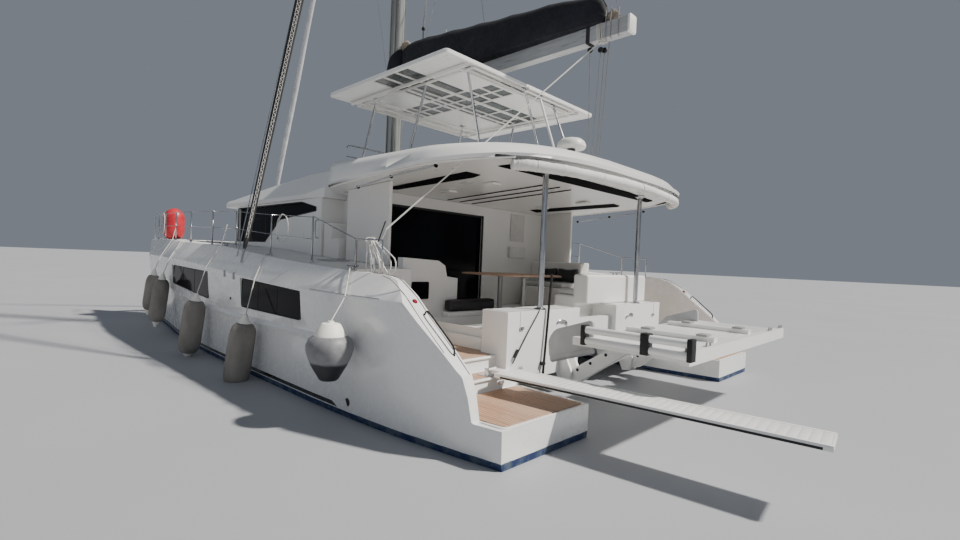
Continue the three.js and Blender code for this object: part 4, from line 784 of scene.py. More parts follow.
class CATAMARAN_OT_hull_trim(bpy.types.Operator):
    """Makes the metal strips, handles and outlets of the hulls, and grey blocks as painted shade in the
    shrouds' recesses
    """

    bl_idname = "catamaran.hull_trim"
    bl_label = "Hull trim"

    def execute(self, context):
        steel = Shape()
        places = (-4.12, -4.5, -4.9, -5.3, -5.66)
        steel.tube([on_line(KNEE, x) + Vector((0, 0.003, 0.006)) for x in places], 0.009, 6)
        steel.mirrored().finish("hull_bright_trim", "polished_steel")
        dark = Shape()
        line = [Vector((x, y + 0.012, z - 0.001)) for x, y, z in FIN_CAP]
        outer = [Vector((x, y + 0.16, z - 0.001)) for x, y, z in FIN_CAP[1:6]]
        dark.tube(curve_points(line, 4), 0.004, 6)
        dark.tube(curve_points(outer, 4), 0.004, 6)
        dark.turned(
            [(0, 0.004), (0.05, 0.004), (0.062, -0.006), (0.062, -0.02), (0, -0.02)],
            (-5.05, 3.975, 0.19), (0.01, 1, -0.04))
        dark.tube(curve_points(FIN_HANDLE, 5), 0.011)
        for x, y, z in HULL_OUTLETS:
            dark.turned(
                [(0, 0.006), (0.022, 0.005), (0.027, -0.01), (0, -0.012)], (x, y, z), (0, 1, 0), 16)
        dark.mirrored().finish("hull_dark_trim", "black_plastic")
        lamp = Shape()
        lamp.turned(
            [(0, 0.012), (0.022, 0.009), (0.032, 0), (0.032, -0.02), (0, -0.02)], (-6.05, 3.78, 1.522),
            (-0.63, 0, 0.77))
        lamp.mirrored().finish("stern_lamps", "lamp_red")
        # Grey blocks painted as the shade inside the shrouds' recesses
        recess = Shape()
        for x in CHAINPLATE_X:
            top = on_line(KNEE, x)
            recess.block(
                (x - 0.04, top.y - 0.03, top.z - 0.1), (x + 0.04, top.y + 0.005, top.z + 0.02), 0.006)
        recess.mirrored().finish("chainplate_recesses", "grey_plastic", slot="stainless_steel")
        return {"FINISHED"}


# Teak on the stern steps of the port hull: outline in plan and the level of the step
TEAK = [
    ([(-6.32, 2.26), (-6.32, 3.64), (-7.02, 3.66), (-7.31, 3.62), (-7.33, 2.27)], PLATFORM_Z),
    ([(-6.02, 2.35), (-6.02, 3.65), (-6.25, 3.65), (-6.25, 2.35)], LOW_STEP_Z),
    ([(-4.43, 2.25), (-4.43, 3.65), (-5.95, 3.65), (-5.95, 2.36), (-5.66, 2.36), (-5.66, 2.25)],
     FLOOR_Z),
]
TEAK_THICK = 0.009
# White nosings of the steps: x of the riser, level
NOSINGS = [(-6.28, LOW_STEP_Z), (-5.98, FLOOR_Z), (-4.4, SOLE_Z)]


class CATAMARAN_OT_stern_steps(bpy.types.Operator):
    """Lays teak on the stern steps and rounds their white nosings"""

    bl_idname = "catamaran.stern_steps"
    bl_label = "Stern steps"

    def execute(self, context):
        teak, white, latch = Shape(), Shape(), Shape()
        for outline, level in TEAK:
            corners = rounded([(x, y, level + 0.0004) for x, y in outline], 0.05, 3)
            teak.plate(corners, (0, 0, TEAK_THICK), 0.002, 1)
        for x, level in NOSINGS:
            white.tube([(x - 0.004, 2.34, level - 0.018), (x - 0.004, 3.68, level - 0.018)], 0.02, 12)
        white.block((-5.655, 2.232, 0.752), (-4.41, 2.262, 0.93), 0.004)
        edge = curve_points([(-7.05, 3.70, 0.392), (-7.3, 3.68, 0.392), (-7.365, 3.6, 0.392)], 5)
        white.tube([*edge, (-7.365, 2.24, 0.392)], 0.012, 8)
        for x, y in ((-6.30, 2.52), (-6.30, 3.36)):
            latch.block((x + 0.006, y - 0.05, 0.45), (x + 0.024, y + 0.05, 0.49), 0.004)
        latch.block((-6.006, 3.3, 0.63), (-5.984, 3.4, 0.67), 0.004)
        teak.mirrored().finish("stern_teak", "planking")
        white.mirrored().finish("step_nosings", "gelcoat")
        latch.mirrored().finish("step_latches", "polished_steel")
        return {"FINISHED"}


# After face of the transom blocks, and the level of their lids
BLOCK_AFT_X = -6.165
LID_Z = 1.341


class CATAMARAN_OT_transom_gear(bpy.types.Operator):
    """Makes the lids, latches, struts and fittings of the transom blocks and nacelle"""

    bl_idname = "catamaran.transom_gear"
    bl_label = "Transom fittings"

    def execute(self, context):
        seams, steel, dark = Shape(), Shape(), Shape()
        seams.tube([(BLOCK_AFT_X - 0.001, 2.04, 1.12), (BLOCK_AFT_X - 0.001, 2.04, 1.335)], 0.003, 6)
        lid = [(-6.12, 0.64), (-6.12, 2.24), (-5.74, 2.24), (-5.74, 0.64)]
        seams.tube(rounded([(x, y, LID_Z) for x, y in lid], 0.05), 0.004, 6, closed=True)
        steel.turned(
            [(0.042, 0.03), (0.05, 0.026), (0.085, 0.014), (0.09, 0), (0.04, 0)], (-6.06, 1.47, LID_Z))
        hoop = curve_points([
            (-6.13, 0.92, 1.05), (-6.165, 0.93, 1.1), (-6.18, 0.98, 1.15), (-6.18, 1.12, 1.17),
            (-6.165, 1.18, 1.13), (-6.13, 1.19, 1.08)], 5)
        steel.tube(hoop, 0.016, 8)
        dark.tube([(-6.195, 1.405, 1.86), (-6.2, 1.46, 1.2), (-6.205, 1.53, 0.43)], 0.018, 10)
        dark.block((-6.22, 1.49, 0.56), (-6.16, 1.57, 0.6), 0.006)
        strap = [(-6.08, 1.58, 1.355), (-6.175, 1.64, 1.33), (-6.185, 1.9, 1.03), (-6.185, 2.19, 0.65)]
        dark.tube(curve_points(strap, 6), 0.008, 6)
        dark.tube([(-6.187, 2.1, 0.83), (-6.19, 2.17, 0.73)], 0.018, 8)
        steel.block((-6.185, 1.97, 1.09), (-6.16, 2.05, 1.13), 0.004)
        dark.finish("boathook_and_strap", "black_plastic")
        seams.mirrored().finish("locker_seams", "grey_plastic", slot="black_canvas")
        steel.mirrored().finish("transom_bright_fittings", "polished_steel")
        return {"FINISHED"}


def hardtop_under(x):
    """Level of the hardtop's underside."""
    return 3.3 - 0.0517 * (x + 5.35)


def ceiling(points, drop):
    """Points in plan, set below the hardtop's underside."""
    return [(x, y, hardtop_under(x) - drop) for x, y in points]


# Feet of the rail along the hardtop's side
SIDE_RAIL = [(-3.68, 3.08, 3.06), (-4.53, 3.08, 3.15), (-5.4, 3.0, 3.23)]
# Edge of the hardtop in plan, along which water runs off
GUTTER = [(-2.64, 3.0), (-3.4, 3.06), (-4.88, 3.02), (-5.35, 2.96), (-5.85, 2.79), (-6.3, 2.49)]
# Dark panels let into the hardtop's underside, in plan; the last is a black band, painted shade in the
# slot behind the rolled curtain
CEILING_SLOTS = [
    [(-3.39, 2.26), (-5.2, 2.24), (-5.2, 1.94), (-4.99, 1.88), (-3.29, 2.04), (-3.25, 2.14)],
    [(-3.41, -1.54), (-5.24, -1.98), (-5.2, -2.3), (-5.1, -2.4), (-3.27, -1.95)],
    # Painted shade of the slot behind the rolled curtain
    [(-5.78, 2.2), (-6.0, 2.14), (-6.12, 0.9), (-6.12, -0.9), (-6.0, -2.14), (-5.84, -2.2)],
]


class CATAMARAN_OT_hardtop_trim(bpy.types.Operator):
    """Makes the dark panels, one of them painted shade, and the ceiling battens, lamps and side rails of
    the hardtop
    """

    bl_idname = "catamaran.hardtop_trim"
    bl_label = "Hardtop trim"

    def execute(self, context):
        dark, lamp, steel, white = Shape(), Shape(), Shape(), Shape()
        for outline in CEILING_SLOTS:
            dark.plate(ceiling(outline, -0.004), (0, 0, -0.012), 0.003, 1)
        for y in (0.66, 0.32, -0.02):
            line = ceiling([(-3.1, y + 0.02), (-5.5, y)], 0.001)
            dark.tube(line, 0.012, 6)
        for x, y in ((-3.87, 1.36), (-3.87, -1.36), (-4.9, 1.36), (-4.9, -1.36)):
            z = hardtop_under(x)
            lamp.block((x - 0.13, y - 0.1, z - 0.04), (x + 0.13, y + 0.1, z + 0.004), 0.02, 3)
        for y in (1.47, -1.47):
            steel.turned(
                [(0.042, -0.04), (0.06, -0.03), (0.085, -0.012), (0.09, 0.0), (0.04, 0.004)],
                (-6.06, y, hardtop_under(-6.06) - 0.002))
        for side in (1, -1):
            steel.tube([(x, side * (y + 0.02), z) for x, y, z in SIDE_RAIL], 0.011, 8)
            for x, y, z in SIDE_RAIL:
                dark.turned(
                    [(0, 0.045), (0.014, 0.044), (0.021, 0.035), (0.024, 0), (0, 0)],
                    (x, side * (y - 0.02), z), (0, side, 0.1), 14)
            path = [(x, side * (y - 0.05), hardtop_under(x) - 0.004) for x, y in GUTTER]
            white.tube(curve_points(path, 4), 0.014, 8)
        dark.finish("hardtop_dark_panels", "matt_black")
        lamp.finish("ceiling_lamps", "white_vinyl")
        steel.finish("hardtop_bright_trim", "polished_steel")
        white.finish("hardtop_drip_rail", "gelcoat")
        return {"FINISHED"}


# Middle of the rolled curtain in plan
CURTAIN_PATH = [
    (-6.22, 2.43), (-6.42, 2.17), (-6.62, 1.5), (-6.74, 0), (-6.62, -1.5), (-6.42, -2.17),
    (-6.22, -2.43)]
CURTAIN_Z = 3.262


class CATAMARAN_OT_curtain(bpy.types.Operator):
    """Rolls the hardtop's curtain and the straps that hold it"""

    bl_idname = "catamaran.curtain"
    bl_label = "Rolled curtain"

    def execute(self, context):
        path = curve_points([(x, y, CURTAIN_Z) for x, y in CURTAIN_PATH], 16)
        roll, straps = Shape(), Shape()
        radius = settings().curtain_radius
        radii = [
            radius * (0.955 + 0.03 * math.sin(k * 1.9) + 0.015 * math.sin(k * 0.73 + 1))
            for k in range(len(path))]
        radii[0] = radii[-1] = radius * 0.8
        roll.tube(path, radii, 20)
        for k in range(5, len(path) - 4, 11):
            ring = path[k:k + 2]
            straps.tube([ring[0], ring[0].lerp(ring[1], 0.3)], radius * 1.02, 20)
        bundle = roll.finish("curtain_roll", "white_canvas", replaces=("hardtop_curtain",), smooth=50)
        straps.finish("curtain_straps", "white_vinyl")
        return {"FINISHED"}


# The stowed mainsail in its cover: x, top, half width at the shoulder and at the foot
COVER = [
    (-0.6, 7.06, 0.05, 0.06), (-1.0, 7.1, 0.09, 0.24), (-2.07, 6.99, 0.11, 0.28),
    (-3.75, 6.79, 0.11, 0.26), (-5.24, 6.64, 0.1, 0.21), (-5.95, 6.48, 0.07, 0.14),
    (-6.05, 6.3, 0.04, 0.09),
]
COVER_STEPS = 76
# Half length and half width of the mast's section
MAST_LONG, MAST_WIDE = 0.21, 0.14
# The cover's collar round the mast: level, how much it rises towards its front, and slack
COLLAR = [
    (6.0, 0.0, 0.03), (6.2, 0.0, 0.055), (6.45, -0.03, 0.06), (6.7, -0.08, 0.05), (6.86, -0.16, 0.03),
    (6.87, -0.16, 0.006),
]
# Bare folds of the sail at each end of the cover: centre, half lengths and number of folds
SAIL_FOLDS = {
    "sail_head_folds": ((-0.64, 0.0, 7.08), (0.16, 0.07, 0.1), 5),
    "sail_clew_folds": ((-6.17, 0.0, 6.08), (0.13, 0.06, 0.1), 6),
}


def crumpled(centre, reach, folds, count=14):
    """Rings of a heap of folded cloth."""
    rings = []
    for k in range(count + 1):
        along = -1 + 2 * k / count
        swell = math.sqrt(max(0.03, 1 - along * along))
        ring = []
        for angle in even_angles(20):
            wave = 0.16 * math.sin(folds * angle + 3.1 * along)
            wide = swell * (1 + wave + 0.1 * math.sin(7 * along + 2 * angle))
            ring.append(centre + Vector((
                reach.x * along, reach.y * wide * math.cos(angle), reach.z * wide * math.sin(angle))))
        rings.append(ring)
    return rings


class CATAMARAN_OT_sail_cover(bpy.types.Operator):
    """Makes the stowed mainsail's dark cover with its zip, its mast collar, bare folds and ties"""

    bl_idname = "catamaran.sail_cover"
    bl_label = "Sail cover"

    def execute(self, context):
        bag, trim = Shape(), Shape()
        rings, ridge, rail = [], [], []
        for k in range(COVER_STEPS + 1):
            x = COVER[0][0] + (COVER[-1][0] - COVER[0][0]) * k / COVER_STEPS
            top, shoulder, foot = blended(COVER, x)
            slack = 0.018 * math.sin(k * 0.9) + 0.012 * math.sin(k * 0.37 + 1)
            dip = 0.02 * abs(math.sin(k * math.pi / 12))
            base = BOOM_TOP_Z + 0.001
            height = top - dip - base
            side = [
                (foot * 0.55, 0.0), (foot * 0.92, 0.06), (foot * (1 + slack), 0.16),
                (foot * (1.0 - slack), 0.29), (foot * (0.93 + slack), 0.42),
                ((foot * 0.6 + shoulder * 0.4) * (1 + slack), 0.58),
                ((foot + shoulder) / 2 * (1 - slack), 0.74), (shoulder * 1.15, 0.88),
                (shoulder * 0.7, 0.97)]
            near = [(x, y, base + height * z) for y, z in side]
            far = [(x, -y * (1 - 0.5 * slack), base + height * z) for y, z in reversed(side)]
            rings.append([*near, (x, 0, base + height), *far])
            ridge.append((x, 0.0, base + height + 0.002))
            rail.append(Vector((x, foot * 0.9, base + height * 0.055)))
        bag.loft(rings)
        trim.tube(ridge, 0.012, 6)
        for side in (1, -1):
            trim.tube([(p.x, side * p.y, p.z) for p in rail], 0.011, 6)
        cover = bag.finish("mainsail_cover", "navy_canvas", "boom", replaces=("sail_cover",), smooth=50)
        trim.finish("cover_zip_and_bolt_rope", "black_canvas", "boom", slot="navy_canvas")
        collar = Shape()
        collar.loft([
            [(MAST_X + (MAST_LONG + grow) * math.cos(a), (MAST_WIDE + grow) * math.sin(a),
              z + slope * math.cos(a)) for a in even_angles(28)]
            for z, slope, grow in COLLAR])
        wrap = collar.finish("mast_collar", "navy_canvas", smooth=60)
        tag = Shape()
        tag.block((-2.09, -0.004, 6.96), (-2.05, 0.004, 7.05), 0.002, 1)
        tag.finish("cover_tag", "white_canvas", "boom")
        for name, (centre, reach, folds) in SAIL_FOLDS.items():
            lump = Shape()
            lump.loft(crumpled(Vector(centre), Vector(reach), folds))
            heap = lump.finish(name, "old_sailcloth", "boom", smooth=60)
        ties = Shape()
        for x, drop in ((-6.1, 0.0), (-6.19, 0.03), (-6.33, -0.02)):
            ties.tube(curve_points([
                (x + 0.03, 0.03, 6.2 + drop), (x, 0.095, 6.02), (x - 0.005, 0.097, 5.86),
                (x, 0.093, 5.74), (x + 0.01, 0.03, 5.715)], 4), 0.008, 6)
        ties.finish("reefing_ties", "flecked_rope", "boom")
        return {"FINISHED"}


# The rolled headsail: distance up the stay, radius
HEADSAIL = [
    (0.262, 0.034), (0.7, 0.046), (1.6, 0.062), (3.5, 0.08), (6, 0.078), (9, 0.071), (13, 0.052),
    (17.5, 0.036), (18.02, 0.03),
]
# The sock's lacing: how far it reaches to each side, in radians, and how far apart it crosses
LACING_HALF = math.radians(22)
LACING_PITCH = 0.055


def rolled(along, rows, start, turns, ripple, step=0.16):
    """Rings of a sail rolled round a line, with a spiral ridge."""
    turn = along.to_track_quat("Z", "X")
    rings = []
    distance = rows[0][0]
    while distance < rows[-1][0] + step:
        reach = min(distance, rows[-1][0])
        (radius,) = blended(rows, reach)
        ring = []
        for angle in even_angles(20):
            swell = 1 + ripple * math.sin(angle - turns * reach) - ripple
            ring.append(round_line(start, turn, radius * swell, angle, reach))
        rings.append(ring)
        distance += step
    return rings


class CATAMARAN_OT_rolled_sails(bpy.types.Operator):
    """Makes the furled headsail on its drum, and the light sail in its laced sock"""

    bl_idname = "catamaran.rolled_sails"
    bl_label = "Rolled sails"

    def execute(self, context):
        along = (STAY_HEAD - STAY_FOOT).normalized()
        sail = Shape()
        sail.loft(rolled(along, HEADSAIL, STAY_FOOT, 1.7, 0.06))
        sail.finish(
            "rolled_headsail", "sailcloth", "headsail", replaces=("furled_headsail",), smooth=60)
        drum = Shape()
        drum.turned(
            [(0, 0.001), (0.03, 0.001), (0.03, 0.1), (0.104, 0.105), (0.104, 0.12), (0.06, 0.13),
             (0.06, 0.235), (0.104, 0.245), (0.104, 0.26), (0.033, 0.265), (0.03, 0.3), (0, 0.3)],
            STAY_FOOT, along, 28)
        drum.finish("furling_drum", "black_plastic", "headsail", slot="spar_aluminium")
        line = Shape()
        turn = along.to_track_quat("Z", "X")
        line.tube([
            round_line(STAY_FOOT, turn, 0.068, a, 0.14 + 0.085 * a / 44)
            for a in (k * 0.35 for k in range(126))], 0.006, 6)
        line.finish("furling_line", "flecked_rope", "headsail")

        along = SOCK_HEAD - SOCK_FOOT
        length = along.length
        along.normalize()
        rows = [(0.26, 0.024), (0.42, 0.047), (2.6, 0.061), (6.5, 0.086), (11, 0.078),
                (length - 0.9, 0.04), (length - 0.5, 0.013)]
        sock = Shape()
        sock.loft(rolled(along, rows, SOCK_FOOT, 0.9, 0.035))
        tack = Shape()
        tack.tube([SOCK_FOOT + along * 0.012, SOCK_FOOT + along * 0.3], 0.02, 12)
        tack.tube([SOCK_HEAD - along * 0.55, SOCK_HEAD + along * 0.88], 0.011, 8)
        lace = Shape()
        turn = along.to_track_quat("Z", "X")
        outward = turn.inverted() @ Vector((-0.93, 0.36, 0))
        laced = math.atan2(outward.y, outward.x)
        zigzag = []
        for k in range(150):
            reach = 0.5 + LACING_PITCH * k
            above = reach - 2.6
            radius = 0.047 + 0.014 * (reach - 0.42) / 2.2 if above < 0 else 0.061 + 0.0064 * above
            angle = laced + (LACING_HALF if k % 2 else -LACING_HALF)
            zigzag.append(round_line(SOCK_FOOT, turn, radius + 0.001, angle, reach))
        lace.tube(zigzag, 0.005, 5)
        for side in (-LACING_HALF, LACING_HALF):
            places = [0.45 + 0.3 * k for k in range(60) if 0.45 + 0.3 * k <= length - 1.2]
            lace.tube([
                round_line(SOCK_FOOT, turn, blended(rows, reach)[0], laced + side, reach)
                for reach in places], 0.003, 5)
        sock.finish("sail_sock", "black_canvas", replaces=("laced_sail_sock",), smooth=60)
        tack.finish("sock_fittings", "polished_steel")
        lace.finish("sock_lacing", "white_rope")
        return {"FINISHED"}


# Cuts of the bimini's lattice, then the fields of it that are dark panes: three rows that run
# across the boat, and two that run along it
BIMINI_X = [
    -4.52, -4.45, -4.15, -4.11, -3.84, -3.8, -3.54, -3.49, -3.17, -3.13, -2.81, -2.77, -2.46, -2.4,
    -2.1, -2.06, -1.74, -1.7, -1.38, -1.03]
BIMINI_Y = [
    -2.12, -1.9, -1.33, -1.29, -0.72, -0.68, -0.06, 0.0, 0.3, 0.34, 0.64, 0.7, 1.4, 1.45, 2.1, 2.12]
ACROSS = {(-3.49, -3.17), (-3.13, -2.81), (-2.77, -2.46)}
ACROSS_SPANS = {
    (-1.9, -1.33), (-1.29, -0.72), (-0.68, -0.06), (0.0, 0.3), (0.34, 0.64), (0.7, 1.4), (1.45, 2.1)}
ALONG_SPANS = {(0.0, 0.3), (0.34, 0.64)}
ALONG = {(-4.45, -4.15), (-4.11, -3.84), (-3.8, -3.54), (-2.4, -2.1), (-2.06, -1.74), (-1.7, -1.38)}
# Level of the bimini's underside
BIMINI_UNDER = 5.234
# Where the posts and stays meet the bimini's underside
BIMINI_FEET = [
    (-1.65, 1.44), (-3.31, 1.5), (-4.35, 1.48), (-1.65, -1.01), (-2.72, -1.65), (-4.36, -0.95),
    (-4.5, 0.14), (-4.46, -0.35)]


def is_pane(across, along):
    return (across in ACROSS and along in ACROSS_SPANS) or (across in ALONG and along in ALONG_SPANS)


class CATAMARAN_OT_bimini(bpy.types.Operator):
    """Makes the bimini's white top with its lattice of dark panes, and the flanges of its posts"""

    bl_idname = "catamaran.bimini"
    bl_label = "Bimini"

    def execute(self, context):
        panel, panes, flanges = Shape(), Shape(), Shape()
        grid = bmesh.ops.create_grid(
            panel.bm, x_segments=len(BIMINI_X) - 1, y_segments=len(BIMINI_Y) - 1, size=1)["verts"]
        columns = len(BIMINI_X)
        for index, vert in enumerate(grid):
            vert.co = (BIMINI_X[index % columns], BIMINI_Y[index // columns], BIMINI_UNDER)
        spans = [(a, b) for a in zip(BIMINI_X, BIMINI_X[1:]) for b in zip(BIMINI_Y, BIMINI_Y[1:])]
        holes = []
        for (x0, x1), (y0, y1) in spans:
            if is_pane((x0, x1), (y0, y1)):
                middle = Vector(((x0 + x1) / 2, (y0 + y1) / 2, BIMINI_UNDER))
                holes += [
                    face for face in panel.bm.faces
                    if (face.calc_center_median() - middle).length < 0.01]
                panes.block((x0 - 0.004, y0 - 0.004, 5.252), (x1 + 0.004, y1 + 0.004, 5.262))
        bmesh.ops.delete(panel.bm, geom=holes, context="FACES")
        geom = bmesh.ops.extrude_face_region(panel.bm, geom=list(panel.bm.faces))["geom"]
        verts = [item for item in geom if isinstance(item, bmesh.types.BMVert)]
        bmesh.ops.translate(panel.bm, vec=(0, 0, 0.045), verts=verts)
        rim = rounded(lying(-4.525, -1.025, -2.125, 2.125, 5.26), 0.06)
        section = [
            (-0.03, -0.034), (0.014, -0.038), (0.025, -0.026), (0.025, 0.026), (0.014, 0.038),
            (-0.03, 0.034)]
        edge = Shape()
        rings = []
        for k, point in enumerate(rim):
            ahead, behind = rim[(k + 1) % len(rim)], rim[k - 1]
            outward = (ahead - behind).normalized().cross(UP)
            rings.append([point + outward * reach + UP * rise for reach, rise in section])
        edge.loft([*rings, rings[0]], caps=False)
        bmesh.ops.remove_doubles(edge.bm, verts=edge.bm.verts, dist=1e-6)
        post = Shape()
        post.tube([(-4.47, -0.35, 5.2), (-5.07, -0.35, 3.602)], 0.022, 14)
        post.finish("bimini_extra_post", "white_vinyl", slot="stainless_steel")
        for x, y in BIMINI_FEET:
            flanges.turned(
                [(0, -0.045), (0.03, -0.045), (0.034, -0.02), (0.07, -0.012), (0.078, 0.0), (0, 0.0)],
                (x, y, 5.2335))
        panel.finish("bimini_panel", "gelcoat", replaces=("bimini_top",))
        edge.finish("bimini_rim", "gelcoat")
        panes.finish("bimini_panes", "dark_solar")
        flanges.finish("bimini_flanges", "polished_steel")
        return {"FINISHED"}


# How far a cushion swells, and the mesh size of its simulation
PAD_CROWN = 0.012
PAD_MESH = 0.022


def pad(name, low, high, look):
    """A cushion: a block that is blown up by a cloth simulation, kept in its box and smoothed."""
    low, high = Vector(low), Vector(high)
    inset = Vector((PAD_CROWN, PAD_CROWN, PAD_CROWN))
    block = Shape().block(low + inset, high - inset, 0.018)
    piece = settle(block.bm, name, look, "vessel", (), 60)
    blow_up(piece, low, high)
    smooth = piece.modifiers.new("Smooth", "SUBSURF")
    smooth.levels = smooth.render_levels = 1


def blow_up(piece, low, high):
    """Swells a piece by cloth pressure inside the box from low to high."""
    scene = bpy.context.scene
    view = bpy.context.view_layer
    bpy.ops.object.select_all(action="DESELECT")
    view.objects.active = piece
    piece.select_set(True)
    remesh = piece.modifiers.new("Even mesh", "REMESH")
    remesh.mode = "VOXEL"
    remesh.voxel_size = PAD_MESH
    bpy.ops.object.modifier_apply(modifier=remesh.name)
    rest = [vert.co.copy() for vert in piece.data.vertices]
    cloth = piece.modifiers.new("Swell", "CLOTH")
    cloth.settings.use_pressure = True
    cloth.settings.uniform_pressure_force = 4
    cloth.settings.effector_weights.gravity = 0
    cloth.settings.quality = 5
    for frame_number in range(1, 21):
        scene.frame_set(frame_number)
    bpy.ops.object.modifier_apply(modifier=cloth.name)
    furthest = PAD_CROWN * 1.6
    for vert, start in zip(piece.data.vertices, rest):
        move = vert.co - start
        if move.length > furthest:
            move *= furthest / move.length
        vert.co = start + move
        for axis in range(3):
            vert.co[axis] = min(max(vert.co[axis], low[axis]), high[axis])
    scene.frame_set(1)
    piece.data.shade_smooth()


# Pads by finish: name, lowest corner, highest corner
PADS = {
    "grey_cushion": [
        ("flybridge_after_pad", (-5.46, -1.62, 3.655), (-5.13, -0.02, 3.736)),
        ("flybridge_after_pad_port", (-5.46, 0.02, 3.655), (-5.13, 1.62, 3.736)),
        ("flybridge_side_pad_1", (-5.1, -1.985, 3.655), (-4.03, -1.805, 3.736)),
        ("flybridge_side_pad_2", (-4.0, -1.985, 3.655), (-2.92, -1.805, 3.736)),
        ("starboard_seat_pad_1", (-4.37, -2.19, 1.5), (-3.83, -1.5, 1.6)),
        ("starboard_seat_pad_2", (-3.82, -2.19, 1.5), (-3.28, -1.5, 1.6)),
        ("port_seat_pad_1", (-4.03, 1.36, 1.48), (-3.66, 2.1, 1.58)),
        ("port_seat_pad_2", (-3.65, 1.36, 1.48), (-3.28, 2.1, 1.58)),
        ("after_seat_pad_1", (-5.69, -1.06, 1.48), (-5.27, -0.02, 1.58)),
        ("after_seat_pad_2", (-5.69, -2.13, 1.48), (-5.27, -1.08, 1.58)),
        ("foredeck_pad_port", (3.3, 0.54, 1.502), (4.4, 1.46, 1.6)),
        ("foredeck_pad_starboard", (3.3, -1.46, 1.502), (4.4, -0.54, 1.6)),
        ("foredeck_pad_forward", (4.02, -0.48, 1.305), (4.42, 0.48, 1.42)),
    ],
    "black_leather": [
        ("starboard_back_pad_1", (-4.37, -2.2, 1.6), (-3.83, -2.06, 1.93)),
        ("starboard_back_pad_2", (-3.82, -2.2, 1.6), (-3.28, -2.06, 1.93)),
        ("black_bolster", (-4.385, 0.56, 1.138), (-4.19, 1.68, 1.34)),
    ],
}


class CATAMARAN_OT_pads(bpy.types.Operator):
    """Makes the cushions of the cockpit, flybridge and foredeck"""

    bl_idname = "catamaran.pads"
    bl_label = "Cushions"

    def execute(self, context):
        for look, rows in PADS.items():
            for name, low, high in rows:
                pad(name, low, high, look)
        return {"FINISHED"}


# Openings in the fronts of the cockpit's lockers, filled with matt black plates as painted shade: x,
# then from and to in y and z
LOCKER_OPENINGS = [(-4.186, 2.0, 2.36, 1.35, 1.63), (-4.396, -2.1, -1.6, 1.12, 1.42)]


class CATAMARAN_OT_cockpit(bpy.types.Operator):
    """Makes the cockpit's moulded seats, its teak table and its lockers"""

    bl_idname = "catamaran.cockpit"
    bl_label = "Cockpit furniture"

    def execute(self, context):
        dressed("port_lounge", "moulding", 0.05, 40)
        dressed("starboard_bench", "moulding", 0.03)
        dressed("after_bench", "moulding", 0.04)
        top = Shape()
        top.plate(rounded(lying(-5.0, -3.7, -0.65, 0.85, 1.758), 0.12, 6), (0, 0, 0.032), 0.006)
        top.finish("table_top", "planking", replaces=("cockpit_table",))
        legs = Shape()
        for x in (-4.64, -4.06):
            legs.turned(
                [(0, 0.0), (0.15, 0.0), (0.15, 0.012), (0.06, 0.03), (0.045, 0.05), (0.045, 0.66),
                 (0.06, 0.68), (0.16, 0.695), (0.16, 0.705), (0, 0.705)], (x, 0.1, SOLE_Z + 0.001),
                sides=28)
        legs.finish("table_legs", "anodised", slot="stainless_steel")
        dark = Shape()
        # Matt black plates as painted shade inside the openings
        for opening in LOCKER_OPENINGS:
            dark.plate(rounded(standing(*opening), 0.03), (-0.008, 0, 0), 0.002, 1)
        plinth = Shape()
        plinth.block((-4.38, 0.56, 1.0505), (-4.19, 1.68, 1.135), 0.01)
        plinth.finish("bolster_plinth", "moulding")
        dark.finish("locker_openings", "matt_black")
        return {"FINISHED"}


# Handrails on the coachroof and beside the saloon, to port
ROOF_RAIL = [
    (2.61, 2.05, 3.3), (2.6, 2.02, 3.42), (2.3, 2.0, 3.44), (1.5, 2.0, 3.52), (0.9, 2.0, 3.6),
    (0.78, 2.0, 3.58), (0.76, 2.0, 3.45)]
GRAB_RAIL = [(-1.93, 2.77, 2.3), (-1.93, 2.83, 2.33), (-1.93, 2.83, 2.6), (-1.93, 2.77, 2.63)]
# Sides of the doorway, and the slats of a white panel beside it, shaped as a blind, which is painted
# sunlight on the bulkhead
DOORWAY_Y = (-0.47, 2.01)
SLATS = 15
SLAT_PITCH = 0.042


